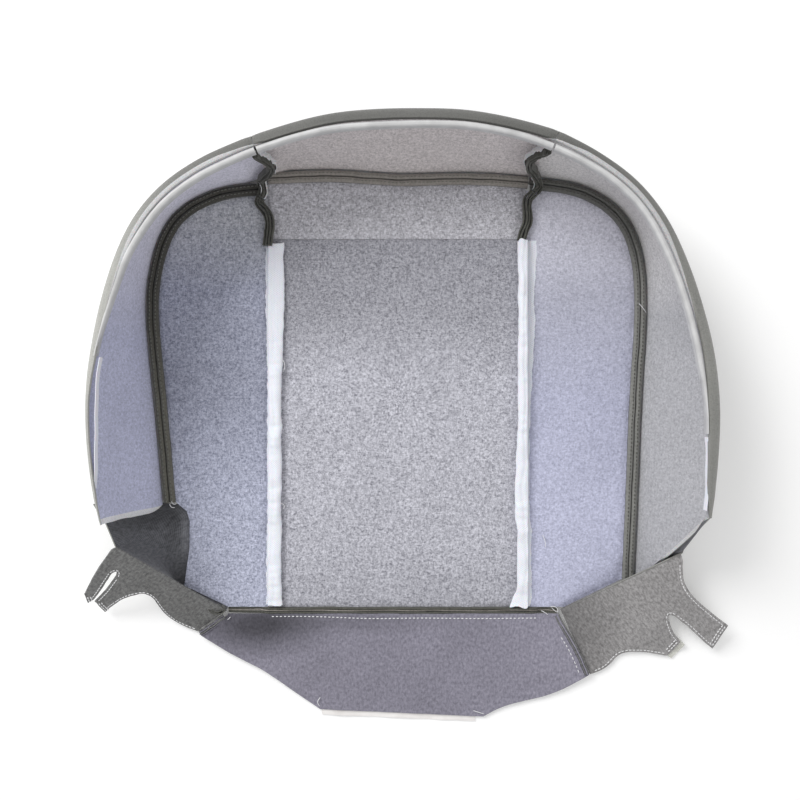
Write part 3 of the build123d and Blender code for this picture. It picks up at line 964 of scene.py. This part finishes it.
# Round the outside of the hook, down its free lip, back round its inside and down its long leg.
hook_section = []
for angle in np.linspace(0, pi, 13):
    hook_section.append((HOOK_R * cos(angle), HOOK_R * sin(angle)))
hook_section += [(-HOOK_R, -5.0), (-HOOK_R + 0.6, -5.5), (-HOOK_R + HOOK_T, -5.0)]
for angle in np.linspace(pi, 0, 9):
    hook_section.append(((HOOK_R - HOOK_T) * cos(angle), (HOOK_R - HOOK_T) * sin(angle)))
hook_section += [(HOOK_R - HOOK_T, -11.6), (HOOK_R - 0.6, -12.0), (HOOK_R, -11.6)]
rim_points = [(-279, 41)] + LEFT_BULGE[2:-1] + FRONT_BULGE[1:-1] + RIGHT_BULGE[1:-2] + [(287.5, -30)]
rim_line = curve(rim_points, 420)
# From where to where along x each strip runs.
hook_spans = {"left": (-1000, -134.8), "front": (-134.2, 142.9), "right": (143.5, 1000)}
for side, (begin, end) in hook_spans.items():
    line = rim_line[(rim_line[:, 0] > begin) & (rim_line[:, 0] < end)]
    strip = Cloth()
    sway = 0.3 * ripple(line, 90, 91)
    lift = 0.3 * ripple(line, 48, 92)
    rings = []
    # The left strip leans in towards its rear end, and both side strips thin out there.
    nearer = 6.6 * (1 - smooth(40, 200, line[:, 1])) * (line[:, 0] < 0)
    slim = np.ones(len(line))
    if side == "right":
        slim = 0.3 + 0.7 * smooth(-25, 50, line[:, 1])
    elif side == "left":
        slim = 0.4 + 0.6 * smooth(41, 110, line[:, 1])
    for out, up in reversed(hook_section):
        across = HOOK_R + (out - HOOK_R) * slim - RIM_FIT + nearer + sway
        rings.append(with_z(shifted(line, across), RIM_Z - HOOK_R - 0.3 + up + lift))
    sweep_lines(strip, rings)
    strip.make(f"{side}_j_strip", [WHITE_PLASTIC], "retainer_plastic", f"{side}_retainer")

tape_routes = {
    "left": [(-271.5, -82), (-270.5, -50), (-269.6, 0), (-268, 26), (-266, 38)],
    "right": [(272.6, -33), (273.4, -55), (273, -80), (271.4, -98)],
}
for side, route in tape_routes.items():
    line = curve(route, 60)
    tape = Cloth()
    sway = 0.3 * ripple(line, 40, 95)
    section = [(0.4, -8.0), (0.5, -1.0), (0.3, 0.0), (-0.3, 0.0), (-0.5, -1.0), (-0.4, -8.0)]
    rings = [with_z(shifted(line, out + sway), RIM_Z - 2.4 + up) for out, up in section]
    sweep_lines(tape, rings)
    made = tape.make(f"{side}_rim_tape", [SLEEVE_CLOTH], "edge_tape", f"{side}_edge_tape")

# ---- standing seams: buckled bundles of cut plies where panels and walls are joined ----

# Each line starts at the lap seam, crosses the perimeter seam and climbs to the rim.
standing = {
    "left": [
        (-131.0, 152.5, 5.8), (-129.6, 163, 6), (-129.0, 176, 6), (-133.5, 188, 6), (-139.0, 196, 6.3),
        (-135.5, 203, 8.0), (-135.0, 209.5, 9.0), (-136.0, 216.5, 13.0), (-131.0, 220, 28),
        (-121.5, 223.5, 47), (-122.5, 226, 60), (-129.5, 228.5, 74), (-131.0, 228.5, 84),
    ],
    "right": [
        (119.8, 157.5, 5.8), (122.6, 167, 6), (126.3, 179, 6), (125.4, 190, 6), (126.7, 198.5, 6.5),
        (132.5, 206, 8.2), (136.3, 212.5, 9.2), (134.8, 219, 14), (129.5, 224, 27),
        (121.8, 227.5, 48), (122.3, 229.5, 61), (131.0, 232, 76), (134.0, 231.5, 84),
    ],
}
# Which way the plies stand at each point of the left line; the right one mirrors it.
standing_ways = [(0, 0, 1)] * 5 + [
    (0, -0.1, 1), (0, -0.4, 0.9), (0, -0.8, 0.6), (0, -0.95, 0.3), (0.1, -0.95, 0.3),
    (0.1, -0.95, 0.3), (0, -0.95, 0.3), (0, -0.97, 0.22),
]
PLY = 2.0
PLIES = 4
ply_tops = (7.6, 9.3, 8.9, 7.9)
# Half of a ply's section, in shares of its thickness and height.
ply_half = [(0.22, 1.0), (0.46, 0.88), (0.5, 0.55), (0.46, 0.0)]
ply_section = [(-out, high) for out, high in reversed(ply_half)] + ply_half


def ply_bundle(cloth, line, up, seed, first, last, foam_at=None):
    """Plies side by side on a line, between two shares of its length; one may be thin, ragged foam."""
    count = len(line)
    along = unit(np.gradient(line, axis=0))
    across = unit(np.cross(along, up))
    above = unit(np.cross(across, along))
    pick = slice(int(first * count), max(int(last * count), int(first * count) + 4))
    for ply in range(PLIES):
        beside = (ply - (PLIES - 1) / 2) * (PLY + 0.25)
        foam_ply = ply == foam_at
        tall = (ply_tops[ply] + 0.7 * ripple(line, 17, seed + ply)) * (0.72 if foam_ply else 1.0)
        thick = PLY * (0.5 if foam_ply else 1.0)
        if foam_ply:
            tall += 1.1 * ripple(line, 6, seed + 40)
        side = beside + (0.6 if foam_ply else 0.45) * ripple(line, 11, seed + 20 + ply)
        rings = []
        for out, high in ply_section:
            lean = 0.6 * (ply - 1.5) * high
            rings.append(
                line + across * (side + out * thick + lean * 0.4)[:, None] + above * (high * tall)[:, None]
            )
        sweep(cloth, np.stack(rings, axis=1)[pick], int(foam_ply))


PANEL_SHARE = 0.36                 # of the line, the part that lies on the panels
STANDING_POINTS = 130
for side, base in standing.items():
    mirror = (1, 1, 1) if side == "left" else (-1, 1, 1)
    at = np.linspace(0, len(base) - 1, 400)
    fine = spline(base, at)
    line = even(fine, STANDING_POINTS)
    way = length_along(fine)
    where = np.interp(np.linspace(0, 1, STANDING_POINTS), way / way[-1], at)
    up = unit(read_at(where, range(len(base)), np.array(standing_ways) * mirror))
    seed, outer_ply = (101, PLIES - 1) if side == "left" else (131, 0)
    cloths = [DARK_ALLOWANCE, FOAM_EDGE]
    for part, seam, first, last, foam_at in (
        ("panel", "panel", 0, PANEL_SHARE, None),
        ("wall", "boxing", PANEL_SHARE, 1, outer_ply),
    ):
        bundle = Cloth()
        ply_bundle(bundle, line, up, seed, first, last, foam_at)
        bundle.make(f"{side}_{part}_allowance", cloths, "seam_allowance", f"{side}_{seam}_seam", crease=60)

# ---- listing sleeves: a folded strip of white cloth sewn down along one side ----

# At places along y: half the tube's width, its middle, and how far its flange shows beside the hinge.
sleeves = {
    "left": dict(
        hinge=INSERT_LEFT, turn=1, seed=151,
        y=[-203.0, -185, -140, -105, -60, 0, 30, 55, 75, 95, 130, 155.0],
        half=[8.0, 7.4, 7.3, 6.8, 6.6, 6.5, 6.8, 7.6, 9.2, 9.2, 9.0, 8.4],
        centre=[-124.4, -124.6, -124.4, -123.9] + [-123.6] * 7 + [-123.4],
        flange=[1.7, 1.8, 1.2, 0.9, 0.8, 0.8, 0.9, 1.3, 1.8, 2.2, 2.6, 2.4],
    ),
    "right": dict(
        hinge=127.0, turn=-1, seed=161,
        y=[-204.5, -197, -188, -130, -112, -90, -50, -30, 49, 79, 98, 128, 150, 158.0],
        half=[10.0, 9.3, 7.4, 7.0, 7.3, 7.3, 6.3, 5.6, 5.5, 5.5, 5.5, 5.5, 5.4, 5.2],
        centre=[118.4, 120.6, 122.6, 122.8, 121.0, 120.9, 121.3, 121.8] + [121.9] * 5 + [122.0],
        flange=[2.2, 3.4, 3.6, 3.5, 1.6, 1.4, 1.4, 1.6, 5.6, 7.6, 5.8, 7.2, 9.2, 9.0],
    ),
}
WEB_LOW = 7.3                      # the sleeve's two plies lie between these where it is sewn down
WEB_HIGH = 8.0
FLANGE_UNDER = 4.5                 # how far the flange reaches in under its sleeve
round_angles = np.radians(np.linspace(-108, 232, 30))
for side, facts in sleeves.items():
    turn, hinge, seed = facts["turn"], facts["hinge"], facts["seed"]
    y = np.linspace(facts["y"][0], facts["y"][-1], 230)
    spot = points_at(0, y)
    half = np.interp(y, facts["y"], facts["half"])
    half += 0.45 * ripple(spot, 30, seed) + 0.2 * ripple(spot, 9, seed + 1)
    centre = np.interp(y, facts["y"], facts["centre"]) + 0.3 * ripple(spot, 45, seed + 2)
    high = np.maximum(2.2, 10.0 - 0.95 * half) + 0.2 * ripple(spot, 19, seed + 3)
    columns = [points_at(hinge, y, WEB_LOW)]
    for angle in round_angles:
        x = centre + turn * half * cos(angle)
        dent = 0.35 * ripple(points_at(y, 7 * angle), 16, seed + 4)
        groove = 0.8 * np.exp(-((angle - 1.75 - 0.25 * ripple(spot, 38, seed + 6)) / 0.2) ** 2)
        z = WEB_LOW + high * (1 + sin(angle)) + (dent - groove) * max(sin(angle), 0)
        inner = 0.45 + 0.06 * np.maximum(z - WEB_LOW, 0)
        x = hinge + turn * np.maximum(turn * (x - hinge), inner)
        columns.append(points_at(x, y, np.maximum(z, WEB_LOW)))
    columns.append(points_at(hinge + turn * 1.6, y, WEB_HIGH + 0.1))
    columns.append(points_at(hinge, y, WEB_HIGH))
    grid = np.stack(columns, axis=1)
    ragged = 0.9 * ripple(points_at(np.arange(len(columns)) * 2.0, 0), 11, seed + 5)
    grid[0, :, 1] += ragged
    grid[-1, :, 1] += ragged[::-1]
    sleeve = Cloth()
    middle = points_at(centre, y, WEB_LOW + high)[:, None]
    outward = normals(grid)
    flip = np.sign(np.sum(outward * (grid - middle) * (1, 0, 1), axis=2).mean())
    shell(sleeve, grid, 0.55, (0, 0, 0), outward * flip)
    tube = f"{side}_listing_sleeve"
    made = sleeve.make(f"{side}_sleeve", [SLEEVE_CLOTH], "sleeve_fabric", tube, tube, 60)

    width = np.interp(y, facts["y"], facts["flange"])
    width = np.maximum(width + 0.5 * ripple(spot, 15, seed + 7) + 0.3 * ripple(spot, 6, seed + 8), 0.5)
    columns = []
    outline, _, panel_seed, _ = panels[f"{side}_bolster"]
    for share in np.linspace(0, 1, 6):
        flat = points_at(hinge + turn * (FLANGE_UNDER - share * (width + FLANGE_UNDER)), y)
        top = panel_top(flat, outline, panel_seed) + 0.55 + 0.25 * share * ripple(flat, 12, seed + 9)
        columns.append(with_z(flat, np.clip(top, 6.2, 7.05)))
    grid = np.stack(columns, axis=1)
    flange = Cloth()
    outward = normals(grid)
    shell(flange, grid, 0.45, (0, 0, 0), outward * np.sign(outward[..., 2:3]))
    name = f"{side}_sleeve_flange"
    made = flange.make(f"{name}_cloth", [SLEEVE_CLOTH], "sleeve_fabric", name, crease=60)

# ---- rear binding: a stack of plies along the rear edge of the panels ----

binding = Cloth()
x = np.linspace(-171, 156, 170)
spot = points_at(x, 0)
# How tall the plies stand, in shares: pressed flat at the left end and near x 142.
sink = 0.16 + 0.84 * smooth(-141, -131, x) * (1 - 0.7 * smooth(133, 139, x) * (1 - smooth(146, 152, x)))
BINDING_FOOT = 1.2
# Each ply's front and rear face along y, its top and its paint.
binding_plies = [(-205.7, -207.9, 8.2, 0), (-208.1, -209.6, 6.9, 1), (-209.8, -211.7, 7.8, 0)]
for number, (near, far, top, paint) in enumerate(binding_plies):
    wave = 0.35 * ripple(spot, 60, 171 + number)
    rise = (top - BINDING_FOOT) * (sink if number else 0.12 + 0.88 * sink)
    rise = rise + 0.35 * ripple(spot, 24, 181 + number)
    rings = []
    for share, height in ((0.0, 0.0), (0.0, 0.8), (0.2, 1.0), (0.8, 1.0), (1.0, 0.8), (1.0, 0.0)):
        rings.append(points_at(x, near + (far - near) * share + wave, BINDING_FOOT + rise * height))
    sweep_lines(binding, rings, paint)
binding.make("rear_binding_plies", [DARK_ALLOWANCE, ALLOWANCE], "seam_allowance", "rear_binding", crease=50)

# ---- rear tongue ----

TONGUE_HALF = 0.6                  # half of its thickness


def clockwise(outline):
    """The outline walked with its inside on the right."""
    x, y = outline[:, 0], outline[:, 1]
    turned = np.sum(x * np.roll(y, -1) - np.roll(x, -1) * y)
    return outline if turned < 0 else outline[::-1]


def tongue_point(flat, lift=0.0):
    """Where a point of the flat tongue lies; the flat y is 0 at its fold."""
    wave = 0.7 * ripple(flat, 75, 191) + 0.3 * ripple(flat, 28, 192)
    free = smooth(0, 14, -flat[:, 1])
    hollow = 1.9 * np.exp(-((flat[:, 0] + 128) / 44) ** 2 - ((flat[:, 1] + 20) / 13) ** 2)
    z = TONGUE_Z + flat[:, 1] * sin(TONGUE_SLOPE) + wave * free - hollow
    z = np.maximum(z, 1.0) + lift
    return points_at(flat[:, 0], TONGUE_Y + flat[:, 1] * cos(TONGUE_SLOPE), z)


tongue_outline = clockwise(closed_outline(
    [(-171, 1.5), (-171, 0), (-199, -19)],
    curve([(-199, -19), (-164, -40.5), (-133, -57), (-106, -76), (-79.5, -94.5)], 40),
    [(-79.5, -94.5), (83, -102)],
    curve([(83, -102), (100, -93), (146, -80.5), (188, -59.5)], 36),
    [(157, 0), (157, 1.5)],
    gap=3.5,
))
flat, faces = patch(tongue_outline, 4.0)
near = edge_distance(flat, tongue_outline)
hem = 0.35 * (1 - smooth(3.6, 4.8, near)) * smooth(4, 10, -flat[:, 1])
tongue = Cloth()
top = tongue_point(flat, TONGUE_HALF + hem)
slab(tongue, flat, faces, top, tongue_point(flat, -TONGUE_HALF), (0, 1, 0), 0.3)
made = tongue.make("rear_tongue_cloth", [TONGUE_KNIT, FACE_VINYL], "backed_vinyl", "rear_tongue", None)
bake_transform(made)

strip_outline = closed_outline([(-78, -88), (75, -95), (75, -107.2), (-78, -100.4)], gap=5.0)
flat, faces = patch(strip_outline, 6.0, (0.8,))
strip = Cloth()
slab(strip, flat, faces, tongue_point(flat, -0.75), tongue_point(flat, -1.6), (0, 0, 0), 0.2)
strip.make("tongue_strip", [STRIP_PLASTIC], "retainer_plastic", "tongue_retainer", "rear_tongue")

tongue_rows = Cloth()
x = np.linspace(-128, 138, 130)
row = points_at(x, -0.9 - 2.0 * smooth(-117, -20, x) + 0.25 * np.sin(x / 17))
stitch_row(tongue_rows, tongue_point(row, 0.75), (0, 0, 1), 4.0, 2.5, 0.5, 0.1)
side_seams = {
    "left": [(-172.5, -3.5), (-184, -11.5), (-196.5, -20)],
    "right": [(152.5, -2), (161, -17), (169.5, -31), (182.5, -60)],
}
for side, route in side_seams.items():
    line = curve(route, 40)
    ridge = Cloth()
    toward = -1 if side == "left" else 1
    # Each ply of the seam: how far out it stands, its height and its thickness.
    low_start = 0.15 + 0.85 * smooth(4, 16, length_along(line))
    for out, tall, wide in ((0.0, 1.5, 1.6), (1.9, 2.4, 1.5), (3.7, 2.8, 1.5), (5.4, 1.7, 1.5)):
        rings = []
        edge = shifted(line, toward * out + 0.35 * ripple(line, 13, 201))
        for share, high in ((-0.5, 0.0), (-0.5, 0.7), (-0.25, 1.0), (0.25, 1.0), (0.5, 0.7), (0.5, 0.0)):
            crest = tongue_point(shifted(edge, share * wide), 0.55)
            rings.append(crest + np.outer(low_start * high * tall, (0, 0, 1)))
        sweep_lines(ridge, rings, 1 if out in (1.9, 5.4) else 0)
    knits = [TONGUE_KNIT, STRAP_KNIT]
    ridge.make(f"{side}_tongue_ridge", knits, "seam_allowance", f"{side}_tongue_seam", "rear_tongue", 50)
    if side == "right":
        sewn = shifted(line, -3.4)[12:]
        stitch_row(tongue_rows, tongue_point(sewn, 0.75), (0, 0, 1), 4.6, 3.0, 0.5, 0.1)
tongue_rows.make("tongue_stitches", [WHITE_THREAD], "backed_vinyl", body="rear_tongue")

# ---- rear corner gussets ----


def path_at(stations, at):
    """A path given as shares and points, read at other shares."""
    shares, points = zip(*stations)
    return read_at(at, shares, points)


# Each gusset is stretched from its foot to its head, and bends round a third path between them.
gusset_paths = {
    "left": dict(
        head=[
            (0, (-274, -93, 94)), (0.06, (-270.5, -102, 89)), (0.1, (-267.5, -111, 82)),
            (0.17, (-262.5, -135.9, 68)), (1, (-171.7, -207.2, 11)),
        ],
        foot=[
            (0, (-244, -101.5, 2)), (0.06, (-231, -103, 2.4)), (0.14, (-216.5, -103.5, 2.4)),
            (0.22, (-208.6, -113, 2.2)), (0.4, (-208.4, -150, 2.0)), (0.68, (-213.5, -184.4, 1.8)),
            (1, (-171.5, -206, 1.8)),
        ],
        bend=[
            (0, (-252, -104, 2)), (0.12, (-245, -122, 1.2)), (0.35, (-237, -150, 0.8)),
            (0.68, (-232, -184, 0.8)), (1, (-174, -211, 1)),
        ],
    ),
    "right": dict(
        head=[(0, (276, -106, 95)), (0.2, (269, -144.5, 43)), (1, (161.2, -205.7, 10))],
        foot=[
            (0, (244, -148, 3)), (0.25, (241, -182, 1.8)), (0.5, (222, -189, 1.6)),
            (1, (163.5, -206.6, 1.2)),
        ],
        bend=[(0, (252, -150, 2)), (0.3, (243, -192, 0.9)), (1, (165, -211, 0.9))],
    ),
}
at = np.linspace(0, 1, 90)
ends = smooth(0, 0.1, at) * smooth(0, 0.1, 1 - at)
climb = np.linspace(0, 1, 26)
for side, paths in gusset_paths.items():
    head, foot, bend = (path_at(paths[part], at) for part in ("head", "foot", "bend"))
    columns = []
    for t in climb:
        columns.append((1 - t) ** 2 * foot + 2 * t * (1 - t) * bend + t * t * head)
    grid = np.stack(columns, axis=1)
    free = np.sin(pi * climb)[None] * ends[:, None]
    grid[..., 2] += free * (1.4 * ripple(grid, 34, 211) + 0.6)
    grid[..., 2] = np.maximum(grid[..., 2], 1.7)
    gusset = Cloth()
    outward = normals(grid)
    outward *= np.sign(outward[40, 8] @ ((0, 0, 60) - grid[40, 8]))
    shell(gusset, grid, 1.2, (0, 1, 1), outward)
    made = gusset.make(f"{side}_gusset_cloth", [DARK_KNIT, FACE_VINYL], "backed_vinyl", f"{side}_gusset")
    wide = float(length_along(grid[45])[-1]) * METRES

# ---- corner flaps ----

FLAP_HALF = 0.65
HEM_WIDTH = 5.2
DROOP = 14.0                       # how far a flap hangs below its plane, this far from its fold
DROOP_REACH = 75.0
FLAP_FLOOR = 2.3
STITCH_ROWS = (1.9, 4.6)           # from the edge; a leg's end has both rows
LEG_ENDS = (1, 5)                  # which of a flap's hems end its legs


class FoldPlane:
    """The plane of a flap: x runs along its fold, y across it, and out is the way it hangs."""

    def __init__(self, inner, outer, hem, out):
        inner, outer, hem = (np.array(point, float) for point in (inner, outer, hem))
        self.inner = inner
        self.along = unit(outer - inner)
        normal = unit(np.cross(self.along, hem - inner))
        self.normal = normal * np.sign(normal[2])
        self.across = np.cross(self.normal, self.along)
        self.out = out

    def points(self, flat, lift=0.0):
        """Where points of the flat flap hang."""
        flat = np.asarray(flat, float)
        reach = np.maximum(flat[:, 1] * self.out, 0)
        base = self.inner + flat[:, :1] * self.along + flat[:, 1:] * self.across
        loose = smooth(2, 22, reach)
        wave = 1.3 * ripple(flat, 52, 221) + 0.35 * ripple(flat, 17, 222)
        base = base + self.normal * (wave * loose)[:, None]
        z = np.maximum(base[:, 2] - DROOP * (reach / DROOP_REACH) ** 2, FLAP_FLOOR)
        seen = (CAMERA_HEIGHT - z) / (CAMERA_HEIGHT - base[:, 2])
        hung = np.column_stack([base[:, :2] * seen[:, None], z])
        return hung + self.normal * np.reshape(lift, (-1, 1))


# Outlines are flat, from the inner end of the fold; the plain hems have no visible stitches.
flaps = {
    "left": dict(
        plane=FoldPlane((-171.7, -207.2, 12), (-262.5, -135.9, 68), (-204.5, -226.5, 2), 1),
        knit=STRAP_KNIT,
        fold=[(-0.5, 0), (128, 0)],
        hems=[
            curve([(129.5, 5), (124, 35), (115.5, 68.5)], 22),
            spaced([(115.5, 68.5), (107, 75.5)], 3),
            curve([(105.8, 69), (108.6, 50), (111.8, 32)], 14),
            curve([(111.8, 32), (109.5, 25.8), (106.4, 31)], 9),
            curve([(106.4, 31), (103.9, 50), (102.9, 70)], 14),
            spaced([(101.8, 70), (87, 77)], 3),
            curve([(87, 77), (84, 45), (73, 31.5), (48, 38), (26, 44), (3.5, 40.5)], 40),
        ],
        plain=(0,),
        flat_size=(0.130, 0.079),
    ),
    "right": dict(
        plane=FoldPlane((161.2, -205.7, 10), (268.4, -145.9, 42), (190.6, -271.4, 2), -1),
        knit=FLAP_KNIT,
        fold=[(-2.5, 0), (126, 0)],
        hems=[
            curve([(123.5, -7.5), (115, -28), (117, -48), (131, -84)], 30),
            spaced([(131, -84), (108, -98)], 3),
            curve([(108, -98), (99, -72), (92, -54)], 18),
            curve([(92, -54), (88, -50.5), (84.5, -55)], 9),
            curve([(84.5, -55), (82, -68), (83.5, -80.5)], 10),
            spaced([(83.5, -80.5), (66, -88)], 3),
            curve([(66, -88), (45, -72.5), (25, -66), (9, -72), (-9.5, -73.5)], 34),
        ],
        plain=(),
        flat_size=(0.139, 0.101),
    ),
}
for side, facts in flaps.items():
    plane = facts["plane"]
    outline = clockwise(closed_outline(facts["fold"], *facts["hems"], gap=3.2))
    flat, faces = patch(outline, 3.4)
    reach = flat[:, 1] * plane.out
    hem_lines = [np.asarray(hem) for hem in facts["hems"]]
    near = np.min([edge_distance(flat, hem, closed=False) for hem in hem_lines], axis=0)
    fold = 0.75 * (1 - smooth(HEM_WIDTH - 0.5, HEM_WIDTH + 0.5, near)) * smooth(2, 7, reach)
    pull = 0.28 * ripple(flat, 9, 231) * (1 - smooth(HEM_WIDTH, HEM_WIDTH + 5, near)) * smooth(3, 8, reach)
    flap = Cloth()
    top = plane.points(flat, FLAP_HALF + fold + pull)
    slab(flap, flat, faces, top, plane.points(flat, -FLAP_HALF), (0, 1, 0), 0.35)
    body = f"{side}_flap"
    made = flap.make(f"{body}_cloth", [facts["knit"], FACE_VINYL], "backed_vinyl", body, None)
    middle = plane.inner + plane.along * 60
    first = (middle - plane.across * plane.out * 1.5) * METRES
    last = (middle + plane.across * plane.out * 7.0) * METRES
    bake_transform(made)

    rows = Cloth()
    for number, hem in enumerate(hem_lines):
        if number in facts["plain"]:
            continue
        leg_end = number in LEG_ENDS
        walk = hem if plane.out < 0 else hem[::-1]
        for distance in STITCH_ROWS if leg_end else STITCH_ROWS[:1]:
            if leg_end:
                step = unit(walk[-1] - walk[0]) * 1.3
                sewn = shifted(np.linspace(walk[0] + step, walk[-1] - step, 12), -distance)
            else:
                sewn = inset(walk, distance, outline)
            sewn = sewn[sewn[:, 1] * plane.out > 8.5]
            if len(sewn) > 1 and length_along(sewn)[-1] >= 3.4:
                thick = 0.6 if leg_end else 0.47
                stitch_row(rows, plane.points(sewn, FLAP_HALF + 0.8), plane.normal, 3.7, 3.0, thick, 0.0)
    rows.make(f"{body}_stitches", [WHITE_THREAD], "backed_vinyl", body=body)

clip_plane = flaps["right"]["plane"]
clip_outline = clockwise(closed_outline([(63, -78), (68, -93), (86, -85.5), (81, -71)], gap=2.0))
flat, faces = patch(clip_outline, 2.5, (0.8,))
near = edge_distance(flat, clip_outline)
bead = 0.35 * (1 - smooth(1.0, 1.8, near))
clip = Cloth()
clip_top = clip_plane.points(flat, -FLAP_HALF - 0.1)
slab(clip, flat, faces, clip_top, clip_plane.points(flat, -FLAP_HALF - 1.1 - bead), (0, 0, 0), 0.3)
clip.make("right_clip_plate", [CLEAR_PLASTIC], "clip_plastic", "right_tab_clip", "right_flap")

# The end of the binding is rolled up on itself where the left flap ends.
roll = Cloth()
turns = np.linspace(0, 2.1 * tau, 64)
size = 1.3 + 0.47 * turns
spiral = points_at(
    -181.5 + 1.1 * size * np.cos(turns) - 0.3 * size * np.sin(turns),
    -206.0 + 0.68 * size * np.sin(turns),
)
rows = [with_z(spiral, 7.5 + high) for high in np.linspace(0, 7.0, 6)]
shell(roll, np.stack(rows), 0.9, (0, 1, 1))
roll.make("rolled_binding_end", [STRAP_KNIT, DARK_ALLOWANCE], "backed_vinyl")

# ---- loose threads ----

threads = {
    "cover": [
        [(-139, 214, 20), (-137, 211, 22), (-135.5, 207, 20), (-136.5, 203, 17)],
        [(-226, -100.5, 9.5), (-224, -103, 10.0), (-221, -102.5, 9.3)],
        [(-228, -103, 9.2), (-226, -106, 9.6), (-223, -106.5, 8.6)],
        [(236.5, 95.5, 9.4), (240.2, 91, 10.2), (243.8, 86.0, 9.6)],
        [(149, -204.5, 9.2), (155, -205.5, 10.4), (156, -209.5, 9.2), (150, -205.5, 9.0)],
        [(140, -208.5, 9.3), (143, -210, 10.2), (146.5, -212.5, 9.2)],
        [(141.5, -134, 7.6), (143.5, -139, 8.2), (144.2, -146, 7.5)],
        [(-118.5, 42, 12), (-115.5, 39, 11), (-114.0, 33, 9.5), (-115.5, 28, 8.8)],
        [(-117.2, -102, 11), (-114.6, -104.5, 9.5), (-115.5, -108, 9.0)],
    ],
    "rear_tongue": [
        [(-79.5, -296, 4.4), (-82, -301, 4.2), (-80, -305, 3.6)],
        [(73, -309, 4.6), (79, -311, 4.4), (83.5, -312.5, 3.8)],
        [(-168, -214.8, 8.8), (-169.5, -216.5, 9.2), (-171, -217.5, 8.6)],
    ],
}
for body, lines in threads.items():
    loose = Cloth()
    for points in lines:
        strand(loose, points, 0.32)
    loose.make(f"{body}_thread_ends", [WHITE_THREAD], "sleeve_fabric", body=body)


# ---- camera, light and floor ----

camera_data = bpy.data.cameras.new("camera")
camera_data.lens = 40.5
camera_data.sensor_width = 36.0
camera = bpy.data.objects.new("camera", camera_data)
camera.location = (0, 0, CAMERA_HEIGHT * METRES)
bpy.context.scene.collection.objects.link(camera)
bpy.context.scene.camera = camera

floor_mesh = bpy.data.meshes.new("floor")
reach = 14.0
floor_z = -0.0006
corners = [(x * reach, y * reach, floor_z) for x, y in ((-1, -1), (1, -1), (1, 1), (-1, 1))]
floor_mesh.from_pydata(corners, [], [(0, 1, 2, 3)])
floor = bpy.data.objects.new("floor", floor_mesh)
bpy.context.scene.collection.objects.link(floor)
floor_paint = Finish("floor_paint", 0.9, Emission_Color=(1, 1, 1, 1), Emission_Strength=0.1)
tint = floor_paint.mix(floor_paint.noise(3.0), colour(247, 247, 247), colour(250, 250, 250))
floor_mesh.materials.append(floor_paint.use(tint))


def lamp(name, where, aim, size, energy):
    """A square soft light that points at a place. Metres."""
    data = bpy.data.lights.new(name, "AREA")
    data.shape = "SQUARE"
    data.size = size
    data.energy = energy
    made = bpy.data.objects.new(name, data)
    made.location = where
    made.rotation_mode = "QUATERNION"
    made.rotation_quaternion = (Vector(aim) - Vector(where)).to_track_quat("-Z", "Y")
    bpy.context.scene.collection.objects.link(made)


lamp("key", (-1.25, 1.3, 1.5), (0, 0, 0), 1.1, 38.0)
lamp("fill", (1.5, -1.2, 1.8), (0, 0, 0), 1.6, 7.0)

world = bpy.data.worlds.new("studio")
bpy.context.scene.world = world
world.use_nodes = True
world.node_tree.nodes["Background"].inputs["Color"].default_value = (1, 1, 1, 1)
world.node_tree.nodes["Background"].inputs["Strength"].default_value = 0.62
bpy.context.scene.view_settings.view_transform = "Standard"
